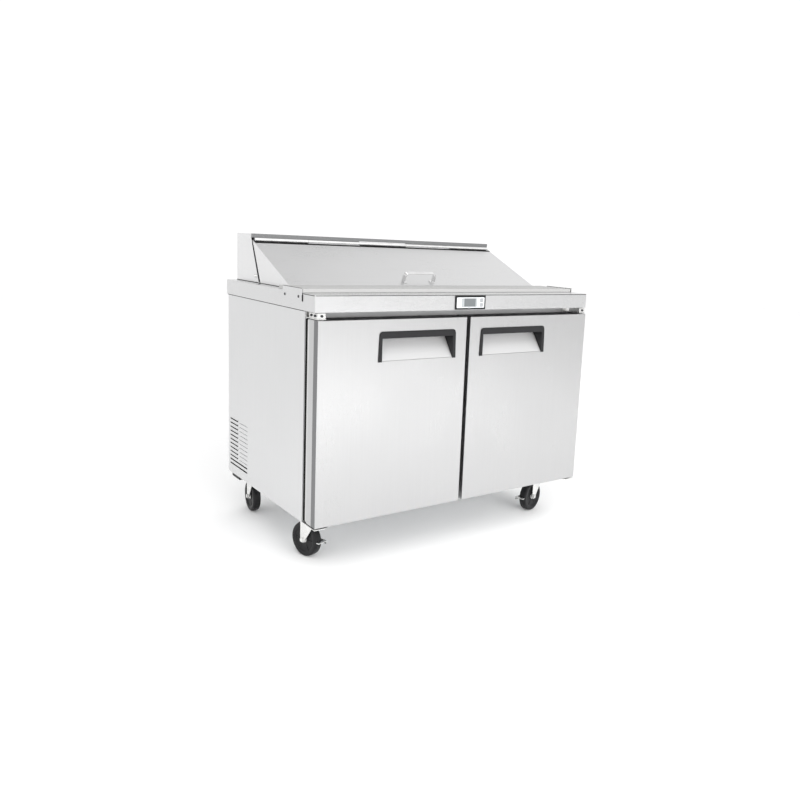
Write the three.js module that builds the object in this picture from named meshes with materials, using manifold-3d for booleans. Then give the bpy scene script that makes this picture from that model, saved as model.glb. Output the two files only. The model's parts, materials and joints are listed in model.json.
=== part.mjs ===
// Sandwich prep table: a two-door refrigerated cabinet on four casters, with a worktop,
// a cutting board, a row of food pans and a hinged hood over them.
//
// Units are millimetres, +Z is up, +X runs to the right along the front and the front faces -Y.
// The origin is on the floor, under the middle of the table. Inside the group "unit", y is
// measured from the front edge of the worktop and z from the floor.

import * as THREE from 'three';
import { mergeVertices } from 'three/addons/utils/BufferGeometryUtils.js';
import Module from 'manifold-3d';

const wasm = await Module();
wasm.setup();

// ---------------------------------------------------------------- driving dimensions

const WIDTH = 1225;            // worktop, side to side
const DEPTH = 762;             // worktop, front to back
const WORKTOP_HEIGHT = 943;    // floor to working surface
const HOOD_HEIGHT = 182;       // working surface to the top of the hood
const SHEET = 1.5;             // stainless sheet
const CLEAR = 0.3;             // gap between touching pieces

const SKIRT_HEIGHT = 56;
const DOOR_PROUD = 9;          // door faces stand this far in front of the worktop edge
const TRIM_PROUD = 3;          // handle trims stand this far in front of the doors

// cabinet
const CABINET_HALF = 607;
const CABINET_FRONT = 81;
const CABINET_REAR = 757;
const CABINET_BOTTOM = 167;
const BASE_THICKNESS = 4.7;
const MACHINE_TOP = 431;       // top of the machine compartment, behind the liner's step
const LINER_WALL = 2;
const CAVITY_HALF = 558;
const CAVITY_FLOOR = 215;
const CAVITY_CEILING = 895;
const DOORWAY_TOP = 838;       // underside of the face frame's header
const CAVITY_REAR = 709;
const STEP_FRONT = 500;        // the cavity's rear wall below the step
const STEP_TOP = 475;
const MULLION_HALF = 32;
const MULLION_DEPTH = 28;
const SHELF_FRONT = 118;
const WALL_LEDGE = 6;
const MIDDLE_LEDGE = 34;
const LEDGE_THICKNESS = 5;

// pan well
const PAN_COUNT = 6;
const PAN_PITCH = 176.5;
const WELL_FRONT = 300;
const WELL_REAR = 627;
const WELL_HALF = 531;
const WELL_DROP = 28;
const LEDGE = 10;
const PAN_DEPTH = 150;

// doors
const DOOR_BOTTOM = 171;
const DOOR_TOP = 862;
const DOOR_OUTER = 604.5;
const DOOR_INNER = 8.5;
const DOOR_FACE = -DOOR_PROUD;
const SKIN_BACK = 55;
const LINER_BACK = 69;
const HINGE_X = 590;
const HINGE_Y = 14;
const HINGE_PIN_R = 5;

// door handles, recessed pockets with a black trim
const HANDLE_X = 217.5;
const HANDLE_TOP = 821;
const HANDLE_BOTTOM = 717;
const HANDLE_HALF_TOP = 159;
const HANDLE_HALF_BOTTOM = 162;
const HANDLE_BAND = 24;
const POCKET_HALF = 150;
const POCKET_DEPTH = 57;
const POCKET_CEILING = 815;
const POCKET_TIP = 719;        // where the pocket's sloping floor meets the door's face
const POCKET_RISE = 78;        // height of the sloping floor

// hood: a fixed box at the rear and a sloping lid in front of it
const HOOD_HALF = 571.5;
const HOOD_REAR = 758;
const HOOD_TOP_FRONT = 618.3;
const HOOD_FOOT_FRONT = 540;
const LID_FRONT = 282;
const LID_LIP_FOOT = 2;
const LID_LIP_TOP = 13;
const LID_CREST_Y = 594;
const LID_CREST_Z = 152;
const LID_HEEL_Y = 604;        // top corner of the lid's end plates, beside the hinge
const LID_HEEL_Z = 158;
const LID_FOOT_REAR = 528;     // bottom rear corner of the end plates
const LID_THICKNESS = 12;
const LID_AXIS_Y = 600.5;
const LID_AXIS_Z = 159.7;
const BARREL_R = 6.5;
const LID_SLOPE = Math.atan2(LID_CREST_Z - LID_LIP_TOP, LID_CREST_Y - LID_FRONT);

// cutting board and its end brackets
const BOARD_FRONT = 90;
const BOARD_REAR = 276;
const BOARD_THICKNESS = 12.7;
const BRACKET_REAR = 236;
const BRACKET_RISE = 15;

// controller in the worktop's front skirt
const CONTROLLER_LEFT = -60;
const CONTROLLER_RIGHT = 78;
const CONTROLLER_FOOT = 889;
const CONTROLLER_TOP = 939;
const CONTROLLER_BODY_INSET = 8;
const CONTROLLER_BODY_DEPTH = 30;

// casters
const WHEEL_R = 62.5;
const WHEEL_WIDTH = 32;
const TRAIL = 33;
const KINGPIN_X = 531;
const KINGPIN_FRONT = 145;
const KINGPIN_REAR = 665;
const CASTERS = [
  { name: 'front_left', x: -KINGPIN_X, y: KINGPIN_FRONT, heading: 106, pedal: -1 },
  { name: 'front_right', x: KINGPIN_X, y: KINGPIN_FRONT, heading: 195, pedal: 1 },
  { name: 'rear_left', x: -KINGPIN_X, y: KINGPIN_REAR, heading: 85, pedal: 0 },
  { name: 'rear_right', x: KINGPIN_X, y: KINGPIN_REAR, heading: 60, pedal: 0 },
];

// ---------------------------------------------------------------- solids

function solid(geometry) {
  const bare = geometry.clone();
  bare.deleteAttribute('normal');
  bare.deleteAttribute('uv');
  const merged = mergeVertices(bare, 1e-4);
  const index = merged.index.array;
  const kept = [];
  for (let i = 0; i < index.length; i += 3) {
    const [a, b, c] = [index[i], index[i + 1], index[i + 2]];
    if (a !== b && b !== c && c !== a) kept.push(a, b, c);
  }
  return new wasm.Manifold(new wasm.Mesh({
    numProp: 3,
    vertProperties: new Float32Array(merged.attributes.position.array),
    triVerts: new Uint32Array(kept),
  }));
}

function geometryOf(body) {
  const mesh = body.getMesh();
  const geometry = new THREE.BufferGeometry();
  geometry.setAttribute('position', new THREE.BufferAttribute(mesh.vertProperties, 3));
  geometry.setIndex(new THREE.BufferAttribute(mesh.triVerts, 1));
  const flat = geometry.toNonIndexed();
  flat.computeVertexNormals();
  return flat;
}

function block([x0, y0, z0], [x1, y1, z1]) {
  const geometry = new THREE.BoxGeometry(x1 - x0, y1 - y0, z1 - z0);
  geometry.translate((x0 + x1) / 2, (y0 + y1) / 2, (z0 + z1) / 2);
  return solid(geometry);
}

// A block given by its two x ends in either order, for pieces that are mirrored left to right.
function sideBlock(xa, xb, [y0, z0], [y1, z1]) {
  return block([Math.min(xa, xb), y0, z0], [Math.max(xa, xb), y1, z1]);
}

function cylinder(radius, from, to, segments = 14) {
  const start = new THREE.Vector3(...from);
  const end = new THREE.Vector3(...to);
  const direction = end.clone().sub(start);
  const geometry = new THREE.CylinderGeometry(radius, radius, direction.length(), segments);
  const up = new THREE.Vector3(0, 1, 0);
  geometry.applyQuaternion(new THREE.Quaternion().setFromUnitVectors(up, direction.normalize()));
  geometry.translate(...start.add(end).multiplyScalar(0.5).toArray());
  return solid(geometry);
}

function extruded(shape, depth, curveSegments = 2) {
  return new THREE.ExtrudeGeometry(shape, { depth, bevelEnabled: false, curveSegments });
}

function outline(points) {
  return new THREE.Shape(points.map(([a, b]) => new THREE.Vector2(a, b)));
}

// An outline in the (y, z) plane, extruded along x.
function prismX(shape, x0, x1) {
  const geometry = extruded(shape, x1 - x0);
  geometry.applyMatrix4(new THREE.Matrix4().set(0, 0, 1, x0, 1, 0, 0, 0, 0, 1, 0, 0, 0, 0, 0, 1));
  return solid(geometry);
}

// An outline in the (x, z) plane, extruded along y.
function prismY(shape, y0, y1) {
  const geometry = extruded(shape, y1 - y0);
  geometry.applyMatrix4(new THREE.Matrix4().set(1, 0, 0, 0, 0, 0, -1, y1, 0, 1, 0, 0, 0, 0, 0, 1));
  return solid(geometry);
}

// An outline in the (x, y) plane, extruded along z.
function prismZ(shape, z0, z1) {
  const geometry = extruded(shape, z1 - z0);
  geometry.translate(0, 0, z0);
  return solid(geometry);
}

function roundedRectangle(x0, y0, x1, y1, radius) {
  const shape = new THREE.Shape();
  shape.moveTo(x0 + radius, y0);
  shape.lineTo(x1 - radius, y0);
  shape.absarc(x1 - radius, y0 + radius, radius, -Math.PI / 2, 0, false);
  shape.lineTo(x1, y1 - radius);
  shape.absarc(x1 - radius, y1 - radius, radius, 0, Math.PI / 2, false);
  shape.lineTo(x0 + radius, y1);
  shape.absarc(x0 + radius, y1 - radius, radius, Math.PI / 2, Math.PI, false);
  shape.lineTo(x0, y0 + radius);
  shape.absarc(x0 + radius, y0 + radius, radius, Math.PI, 1.5 * Math.PI, false);
  return shape;
}

function union(bodies) {
  return bodies.reduce((whole, body) => whole.add(body));
}

function cut(body, tools) {
  return tools.reduce((rest, tool) => rest.subtract(tool), body);
}

// ---------------------------------------------------------------- materials

function finish(color, roughness, metalness) {
  return () => new THREE.MeshStandardMaterial({ color, roughness, metalness });
}

const stainless = finish(0xdadbdc, 0.32, 1.0);
const darkStainless = finish(0x8d8f92, 0.35, 1.0);
const polished = finish(0xe6e7e8, 0.12, 1.0);
const galvanised = finish(0xb9bcbf, 0.5, 0.9);
const zincSteel = finish(0xd2d4d6, 0.3, 1.0);
const whiteBoard = finish(0xf1f1ee, 0.6, 0.0);
const linerPlastic = finish(0xe9eaea, 0.5, 0.0);
const blackPlastic = finish(0x2b2b2c, 0.5, 0.0);
const blackRubber = finish(0x161616, 0.75, 0.0);
const wheelRubber = finish(0x1d1d1e, 0.6, 0.0);
const displayGlass = finish(0x777b7e, 0.15, 0.0);
const greyButton = finish(0x8a8c8f, 0.45, 0.0);
const bareFins = finish(0xb9c0c4, 0.4, 0.9);
const blackPaint = finish(0x1b1c1e, 0.35, 0.2);

function node(parent, name, body, material) {
  const mesh = new THREE.Mesh(geometryOf(body), material());
  mesh.name = name;
  parent.add(mesh);
  return mesh;
}

// ---------------------------------------------------------------- cabinet

const LOUVRE_ROWS = 12;
const LOUVRE_PITCH = 16.8;
const LOUVRE_FOOT = 202;
const LOUVRE_FULL_ROWS = 2;
const LOUVRE_HEIGHT = 6;
const VENT_FRONT = 562;
const VENT_MIDDLE = 650;
const VENT_REAR = 738;
const FINE_SLOT_HEIGHT = 3;

// A side sheet with its low rear vent: open louvres behind, fine slots in front of them, and
// two full-length slots at the foot.
function sidePanel(side) {
  const outer = side * CABINET_HALF;
  const inner = side * (CABINET_HALF - SHEET);
  const through = side * (CABINET_HALF + 5);
  const back = side * (CABINET_HALF - 10);
  const slots = [];
  for (let row = 0; row < LOUVRE_ROWS; row += 1) {
    const z = LOUVRE_FOOT + row * LOUVRE_PITCH;
    if (row < LOUVRE_FULL_ROWS) {
      slots.push(sideBlock(through, back, [VENT_FRONT, z], [VENT_REAR, z + LOUVRE_HEIGHT]));
    } else {
      slots.push(sideBlock(through, back, [VENT_MIDDLE + 6, z], [VENT_REAR, z + LOUVRE_HEIGHT]));
      slots.push(sideBlock(through, back, [VENT_FRONT, z], [VENT_MIDDLE - 6, z + FINE_SLOT_HEIGHT]));
    }
  }
  const sheet = sideBlock(
    outer, inner, [CABINET_FRONT, CABINET_BOTTOM - 1], [CABINET_REAR, WORKTOP_HEIGHT - 2]);
  return cut(sheet, slots);
}

function backPanel() {
  const half = CABINET_HALF - SHEET - CLEAR;
  return block([-half, CABINET_REAR - SHEET, MACHINE_TOP + 1], [half, CABINET_REAR, WORKTOP_HEIGHT - 2]);
}

const GRILLE_ROWS = 7;
const GRILLE_COLUMNS = 3;
const GRILLE_START_X = -540;
const GRILLE_START_Z = 213;
const GRILLE_PITCH_X = 290;
const GRILLE_PITCH_Z = 26;
const GRILLE_SLOT_LENGTH = 250;
const GRILLE_SLOT_HEIGHT = 8;
const GLAND_X = 430;
const GLAND_Z = 240;
const GLAND_R = 12;

// The lift-off cover of the machine compartment, with rows of air slots and the cord gland's hole.
function rearGrille() {
  const half = CABINET_HALF - SHEET - CLEAR;
  const floor = CABINET_BOTTOM + BASE_THICKNESS + 1;
  const y0 = CABINET_REAR - SHEET;
  const sheet = block([-half, y0, floor], [half, CABINET_REAR, MACHINE_TOP]);
  const slots = [];
  for (let column = 0; column < GRILLE_COLUMNS; column += 1) {
    const x0 = GRILLE_START_X + column * GRILLE_PITCH_X;
    for (let row = 0; row < GRILLE_ROWS; row += 1) {
      const z0 = GRILLE_START_Z + row * GRILLE_PITCH_Z;
      slots.push(block(
        [x0, y0 - 5, z0], [x0 + GRILLE_SLOT_LENGTH, CABINET_REAR + 5, z0 + GRILLE_SLOT_HEIGHT]));
    }
  }
  slots.push(cylinder(GLAND_R + CLEAR, [GLAND_X, y0 - 5, GLAND_Z], [GLAND_X, CABINET_REAR + 5, GLAND_Z]));
  return cut(sheet, slots);
}

const RIB_X = 200;
const RIB_WIDTH = 30;
const RIB_HEIGHT = 20;

// Bottom tray that ties the side sheets together and carries the casters.
function basePan() {
  const half = CABINET_HALF - SHEET - CLEAR;
  const top = CABINET_BOTTOM + BASE_THICKNESS;
  const tray = block(
    [-half, CABINET_FRONT + 0.2, CABINET_BOTTOM], [half, CABINET_REAR - SHEET - CLEAR, top]);
  const ribs = [-1, 1].map((side) => sideBlock(
    side * RIB_X, side * (RIB_X + RIB_WIDTH), [CABINET_FRONT + 40, top - 0.5],
    [STEP_FRONT - 20, top + RIB_HEIGHT]));
  return union([tray, ...ribs]);
}

function cavityOutline(grow) {
  return outline([
    [CABINET_FRONT - 1, CAVITY_FLOOR - grow],
    [STEP_FRONT + grow, CAVITY_FLOOR - grow],
    [STEP_FRONT + grow, STEP_TOP - grow],
    [CAVITY_REAR + grow, STEP_TOP - grow],
    [CAVITY_REAR + grow, CAVITY_CEILING + grow],
    [CABINET_FRONT - 1, CAVITY_CEILING + grow],
  ]);
}

// Two ledges on the side walls and a bar from the middle post to the step carry the shelves.
function shelfLedges() {
  const z0 = STEP_TOP - LEDGE_THICKNESS;
  const walls = [-1, 1].map((side) => sideBlock(
    side * (CAVITY_HALF - WALL_LEDGE), side * (CAVITY_HALF + 1), [SHELF_FRONT, z0],
    [STEP_FRONT + 1, STEP_TOP]));
  const bar = block(
    [-MIDDLE_LEDGE, CABINET_FRONT + MULLION_DEPTH - 1, z0], [MIDDLE_LEDGE, STEP_FRONT + 1, STEP_TOP]);
  return [...walls, bar];
}

// One-piece liner: a box open at the front with a step over the machine compartment, the face
// frame around it, the middle post that both doors close against, and the opening for the pans.
function cabinetLiner() {
  const half = CABINET_HALF - SHEET - CLEAR;
  const frameBack = CABINET_FRONT + LINER_WALL;
  const sheet = block(
    [-half, CABINET_FRONT, CABINET_BOTTOM + BASE_THICKNESS + CLEAR], [half, frameBack, WORKTOP_HEIGHT - 2]);
  const doorway = block(
    [-CAVITY_HALF, CABINET_FRONT - 5, CAVITY_FLOOR], [CAVITY_HALF, frameBack + 5, DOORWAY_TOP]);
  const shell = prismX(cavityOutline(LINER_WALL), -CAVITY_HALF - LINER_WALL, CAVITY_HALF + LINER_WALL)
    .subtract(block([-WIDTH, -100, 0], [WIDTH, CABINET_FRONT, WORKTOP_HEIGHT]));
  const cavity = prismX(cavityOutline(0), -CAVITY_HALF, CAVITY_HALF);
  const well = block(
    [-WELL_HALF + 2, WELL_FRONT + 2, CAVITY_CEILING - 5],
    [WELL_HALF - 2, WELL_REAR - 2, CAVITY_CEILING + 20]);
  const post = block(
    [-MULLION_HALF, CABINET_FRONT, CAVITY_FLOOR - 1],
    [MULLION_HALF, CABINET_FRONT + MULLION_DEPTH, CAVITY_CEILING + 1]);
  return union([cut(shell, [cavity, well]), sheet.subtract(doorway), post, ...shelfLedges()]);
}

function worktop() {
  const half = WIDTH / 2;
  const foot = WORKTOP_HEIGHT - SKIRT_HEIGHT;
  const under = WORKTOP_HEIGHT - SHEET;
  const top = prismZ(roundedRectangle(-half, 0, half, DEPTH, 4), foot, WORKTOP_HEIGHT);
  const hollow = block([-half + SHEET, SHEET, foot - 5], [half - SHEET, DEPTH - SHEET, under]);
  const rim = block(
    [-WELL_HALF - SHEET, WELL_FRONT - SHEET, WORKTOP_HEIGHT - WELL_DROP],
    [WELL_HALF + SHEET, WELL_REAR + SHEET, under + 0.5]);
  const well = block(
    [-WELL_HALF, WELL_FRONT, WORKTOP_HEIGHT - WELL_DROP + SHEET], [WELL_HALF, WELL_REAR, WORKTOP_HEIGHT + 5]);
  const drop = block(
    [-WELL_HALF + LEDGE, WELL_FRONT + LEDGE, WORKTOP_HEIGHT - WELL_DROP - 5],
    [WELL_HALF - LEDGE, WELL_REAR - LEDGE, WORKTOP_HEIGHT]);
  const cutout = block(
    [CONTROLLER_LEFT + CONTROLLER_BODY_INSET - 0.5, -5, CONTROLLER_FOOT + CONTROLLER_BODY_INSET - 0.5],
    [CONTROLLER_RIGHT - CONTROLLER_BODY_INSET + 0.5, 5, CONTROLLER_TOP - CONTROLLER_BODY_INSET + 0.5]);
  return cut(top.subtract(hollow).add(rim), [well, drop, cutout]);
}

function addCabinet(unit) {
  node(unit, 'side_panel_left', sidePanel(-1), stainless);
  node(unit, 'side_panel_right', sidePanel(1), stainless);
  node(unit, 'back_panel', backPanel(), galvanised);
  node(unit, 'rear_grille', rearGrille(), galvanised);
  node(unit, 'base_pan', basePan(), galvanised);
  node(unit, 'cabinet_liner', cabinetLiner(), stainless);
  node(unit, 'worktop', worktop(), stainless);
}

// ---------------------------------------------------------------- work surface

function boardBracket(side) {
  const inner = side * (WIDTH / 2 + CLEAR);
  const outer = side * (WIDTH / 2 + CLEAR + 2);
  const plate = sideBlock(
    inner, outer, [BOARD_FRONT - 1, WORKTOP_HEIGHT - 29], [BRACKET_REAR, WORKTOP_HEIGHT + BRACKET_RISE]);
  const heads = [BOARD_FRONT + 24, BRACKET_REAR - 18].map((y) => {
    const z = WORKTOP_HEIGHT - 13;
    return cylinder(4.5, [inner + side, y, z], [outer + side * 1.5, y, z], 12);
  });
  return union([plate, ...heads]);
}

function cuttingBoard() {
  const half = WIDTH / 2 - 0.7;
  const z0 = WORKTOP_HEIGHT + CLEAR;
  return prismZ(roundedRectangle(-half, BOARD_FRONT, half, BOARD_REAR, 5), z0, z0 + BOARD_THICKNESS);
}

function addWorkSurface(unit) {
  node(unit, 'board_bracket_left', boardBracket(-1), stainless);
  node(unit, 'board_bracket_right', boardBracket(1), stainless);
  node(unit, 'cutting_board', cuttingBoard(), whiteBoard);
}

const PAN_FLANGE_HALF_X = 87.9;
const PAN_BODY_HALF_X = 79;
const PAN_FLANGE_ROUND = 8;
const PAN_BODY_ROUND = 16;
const PAN_SHEET = 1.4;

// A deep food pan hung by the flange around its mouth; its local origin is the middle of the
// flange's underside.
function pan() {
  const halfY = (WELL_REAR - WELL_FRONT) / 2 - 0.6;
  const bodyY = halfY - LEDGE - 2;
  const rectangle = (halfX, half, radius) => roundedRectangle(-halfX, -half, halfX, half, radius);
  const flange = prismZ(rectangle(PAN_FLANGE_HALF_X, halfY, PAN_FLANGE_ROUND), 0, PAN_SHEET);
  const body = prismZ(rectangle(PAN_BODY_HALF_X, bodyY, PAN_BODY_ROUND), -PAN_DEPTH, 1);
  const inside = prismZ(
    rectangle(PAN_BODY_HALF_X - PAN_SHEET, bodyY - PAN_SHEET, PAN_BODY_ROUND - PAN_SHEET),
    -PAN_DEPTH + PAN_SHEET, 5);
  return flange.add(body).subtract(inside);
}

function addPans(unit) {
  const ledgeTop = WORKTOP_HEIGHT - WELL_DROP + SHEET;
  for (let i = 0; i < PAN_COUNT; i += 1) {
    const mesh = node(unit, `food_pan_${i + 1}`, pan(), stainless);
    mesh.position.set((i - (PAN_COUNT - 1) / 2) * PAN_PITCH, (WELL_FRONT + WELL_REAR) / 2, ledgeTop + CLEAR);
  }
}

// ---------------------------------------------------------------- hood and lid

// Fixed box behind the lid: top, back and two cheeks with sloping front edges.
function hoodRearBox() {
  const outer = prismX(outline([
    [HOOD_REAR, CLEAR], [HOOD_REAR, HOOD_HEIGHT], [HOOD_TOP_FRONT, HOOD_HEIGHT],
    [HOOD_TOP_FRONT, RAIL_FOOT - 1], [HOOD_FOOT_FRONT, CLEAR],
  ]), -HOOD_HALF, HOOD_HALF);
  const inner = prismX(outline([
    [HOOD_REAR - SHEET, -5], [HOOD_REAR - SHEET, HOOD_HEIGHT - SHEET],
    [HOOD_TOP_FRONT - 20, HOOD_HEIGHT - SHEET], [HOOD_FOOT_FRONT - 40, -5],
  ]), -HOOD_HALF + SHEET, HOOD_HALF - SHEET);
  return outer.subtract(inner);
}

const KNUCKLE_ENDS = [113, 345, 565];
const KNUCKLE_GAP = 0.5;
const HINGE_WIRE_R = 2.5;
const RAIL_FRONT = 607;
const RAIL_FOOT = 167;

function barrel(radius, x0, x1) {
  return cylinder(radius, [x0, LID_AXIS_Y, LID_AXIS_Z], [x1, LID_AXIS_Y, LID_AXIS_Z], 16);
}

// Rail along the hood's top front edge, with three hinge knuckles and the hinge wire.
function hingeRail() {
  const [a, b, c] = KNUCKLE_ENDS;
  const rail = block([-HOOD_HALF, RAIL_FRONT, RAIL_FOOT], [HOOD_HALF, HOOD_TOP_FRONT - CLEAR, HOOD_HEIGHT]);
  const knuckles = [[-c, -b], [-a, a], [b, c]].map(([x0, x1]) => barrel(BARREL_R, x0, x1)
    .add(block([x0, LID_AXIS_Y + 1, LID_AXIS_Z + 1], [x1, RAIL_FRONT + 3, RAIL_FOOT + 2])));
  return union([rail, ...knuckles, barrel(HINGE_WIRE_R, -c + 1, c - 1)]);
}

// Insulated lid: a thick sloping plate with a lip along its front edge, two triangular end
// plates, and the two hinge knuckles between those of the rail.
function lidShell() {
  const [a, b, c] = KNUCKLE_ENDS;
  const dropY = LID_THICKNESS * Math.sin(LID_SLOPE);
  const dropZ = LID_THICKNESS * Math.cos(LID_SLOPE);
  const slope = Math.tan(LID_SLOPE);
  const lipBack = LID_FRONT + LID_THICKNESS;
  const plate = prismX(outline([
    [LID_FRONT, LID_LIP_FOOT], [lipBack, LID_LIP_FOOT],
    [lipBack, LID_LIP_TOP - dropZ + slope * (lipBack - LID_FRONT - dropY)],
    [LID_CREST_Y + dropY, LID_CREST_Z - dropZ], [LID_CREST_Y, LID_CREST_Z], [LID_FRONT, LID_LIP_TOP],
  ]), -HOOD_HALF, HOOD_HALF);
  const ends = [-1, 1].map((side) => prismX(outline([
    [LID_FRONT, LID_LIP_FOOT], [LID_FOOT_REAR, LID_LIP_FOOT], [LID_HEEL_Y, LID_HEEL_Z],
    [LID_CREST_Y, LID_CREST_Z], [LID_FRONT, LID_LIP_TOP],
  ]), side > 0 ? HOOD_HALF - 3 : -HOOD_HALF, side > 0 ? HOOD_HALF : -HOOD_HALF + 3));
  const relief = barrel(BARREL_R + 0.7, -c - 1, c + 1);
  const knuckles = [-1, 1].map((side) => {
    const x0 = side > 0 ? a + KNUCKLE_GAP : -b + KNUCKLE_GAP;
    const x1 = side > 0 ? b - KNUCKLE_GAP : -a - KNUCKLE_GAP;
    return barrel(BARREL_R, x0, x1).add(prismX(outline([
      [LID_CREST_Y - 3, LID_CREST_Z - 8], [LID_AXIS_Y, LID_AXIS_Z - 9], [LID_AXIS_Y + 1, LID_AXIS_Z - 3],
      [LID_CREST_Y, LID_CREST_Z],
    ]), x0, x1));
  });
  return union([cut(union([plate, ...ends]), [relief]), ...knuckles])
    .subtract(barrel(HINGE_WIRE_R + 0.4, -c, c));
}

const GASKET_FOOT = 0.4;
const GASKET_WIDTH = 9;
const GASKET_LIP = 4.5;
const GASKET_TOP = 138;

// Black seal under the lid's front lip and end plates, and up their sloping rear edges.
function lidGasket() {
  const top = LID_LIP_FOOT - CLEAR;
  const half = HOOD_HALF - 0.6;
  const front = block([-half, LID_FRONT + 2, GASKET_FOOT], [half, LID_FRONT + 2 + GASKET_WIDTH, top]);
  const lean = (LID_HEEL_Y - LID_FOOT_REAR) / (LID_HEEL_Z - LID_LIP_FOOT);
  const sides = [-1, 1].map((side) => {
    const [x0, x1] = side > 0 ? [half - GASKET_WIDTH, half] : [-half, -half + GASKET_WIDTH];
    const foot = block([x0, LID_FRONT + 4, GASKET_FOOT], [x1, LID_FOOT_REAR + 1, top]);
    const near = LID_FOOT_REAR + 2 * CLEAR;
    const far = LID_FOOT_REAR + GASKET_LIP;
    const shift = lean * (GASKET_TOP - LID_LIP_FOOT);
    const riser = prismX(outline([
      [near, GASKET_FOOT], [far, GASKET_FOOT], [far + shift, GASKET_TOP], [near + shift, GASKET_TOP],
    ]), x0, x1);
    return foot.add(riser);
  });
  return union([front, ...sides]);
}

const PULL_LEFT = -86;
const PULL_RIGHT = 57;
const PULL_START = 16;         // distance up the slope from the lid's front edge
const PULL_STRAP = 20;
const PULL_HEIGHT = 40;
const PULL_THICKNESS = 3;
const PULL_FOOT = 16;
const PULL_ROUND = 14;

// Outline of a low arch with two round shoulders, standing on z0.
function arch(x0, x1, z0, height, radius) {
  const shape = new THREE.Shape();
  shape.moveTo(x0, z0);
  shape.lineTo(x1, z0);
  shape.lineTo(x1, height - radius);
  shape.absarc(x1 - radius, height - radius, radius, 0, Math.PI / 2, false);
  shape.lineTo(x0 + radius, height);
  shape.absarc(x0 + radius, height - radius, radius, Math.PI / 2, Math.PI, false);
  return shape;
}

// Flat strap bent into a low arch. In its own frame x runs along the lid, y up its slope and z
// out of its face.
function lidPull() {
  const t = PULL_THICKNESS;
  const outer = prismY(arch(PULL_LEFT, PULL_RIGHT, 0, PULL_HEIGHT, PULL_ROUND), 0, PULL_STRAP);
  const inner = prismY(
    arch(PULL_LEFT + t, PULL_RIGHT - t, -5, PULL_HEIGHT - t, PULL_ROUND - t), -5, PULL_STRAP + 5);
  const feet = [
    block([PULL_LEFT + 1, 0, 0], [PULL_LEFT + PULL_FOOT, PULL_STRAP, t]),
    block([PULL_RIGHT - PULL_FOOT, 0, 0], [PULL_RIGHT - 1, PULL_STRAP, t]),
  ];
  return union([outer.subtract(inner), ...feet]);
}

function addHood(unit) {
  const hood = new THREE.Group();
  hood.position.z = WORKTOP_HEIGHT;
  unit.add(hood);
  node(hood, 'hood_rear_box', hoodRearBox(), stainless);
  node(hood, 'lid_hinge_rail', hingeRail(), darkStainless);
  node(hood, 'lid_shell', lidShell(), stainless);
  node(hood, 'lid_gasket', lidGasket(), blackRubber);
  const face = new THREE.Group();
  face.position.set(0, LID_FRONT, LID_LIP_TOP);
  face.rotation.x = LID_SLOPE;
  hood.add(face);
  const pull = node(face, 'lid_handle', lidPull(), polished);
  pull.position.set(0, PULL_START, CLEAR);
}

// ---------------------------------------------------------------- doors

function pocketOutline(grow) {
  const tip = POCKET_TIP - grow;
  return outline([
    [DOOR_FACE - 1, tip], [DOOR_FACE, tip],
    [DOOR_FACE + POCKET_DEPTH + grow, tip + POCKET_RISE],
    [DOOR_FACE + POCKET_DEPTH + grow, POCKET_CEILING + grow], [DOOR_FACE - 1, POCKET_CEILING + grow],
  ]);
}

// Folded steel tray that makes the door's face and edges, with the sloping handle pocket.
function doorSkin(side) {
  const centre = side * HANDLE_X;
  const tray = sideBlock(
    side * DOOR_INNER, side * DOOR_OUTER, [DOOR_FACE, DOOR_BOTTOM], [SKIN_BACK, DOOR_TOP]);
  const hollow = sideBlock(
    side * (DOOR_INNER + SHEET), side * (DOOR_OUTER - SHEET), [DOOR_FACE + SHEET, DOOR_BOTTOM + SHEET],
    [SKIN_BACK + 5, DOOR_TOP - SHEET]);
  const grown = prismX(pocketOutline(SHEET), centre - POCKET_HALF - SHEET, centre + POCKET_HALF + SHEET)
    .subtract(block([-WIDTH, -100, 0], [WIDTH, DOOR_FACE, WORKTOP_HEIGHT]));
  const pocket = prismX(pocketOutline(0), centre - POCKET_HALF, centre + POCKET_HALF);
  const x = side * HINGE_X;
  const pinHoles = cylinder(HINGE_PIN_R + 0.6, [x, HINGE_Y, DOOR_BOTTOM - 5], [x, HINGE_Y, DOOR_TOP + 5]);
  return cut(tray.subtract(hollow).add(grown), [pocket, pinHoles]);
}

// Moulded inner panel that closes the tray's back, raised in the middle.
function doorLiner(side) {
  const wall = 3;
  const inset = 2;
  const margin = 62;
  const raise = 8;
  const z0 = DOOR_BOTTOM + inset;
  const z1 = DOOR_TOP - inset;
  const xa = DOOR_INNER + inset;
  const xb = DOOR_OUTER - inset;
  const y0 = SKIN_BACK + CLEAR;
  const rim = sideBlock(side * xa, side * xb, [y0, z0], [LINER_BACK, z1]);
  const field = sideBlock(
    side * (xa + margin), side * (xb - margin), [y0, z0 + margin], [LINER_BACK + raise, z1 - margin]);
  const hollow = sideBlock(
    side * (xa + wall), side * (xb - wall), [y0 - 5, z0 + wall], [LINER_BACK - wall, z1 - wall]);
  const fieldHollow = sideBlock(
    side * (xa + margin + wall), side * (xb - margin - wall), [y0 - 5, z0 + margin + wall],
    [LINER_BACK + raise - wall, z1 - margin - wall]);
  return cut(rim.add(field), [hollow, fieldHollow]);
}

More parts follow.
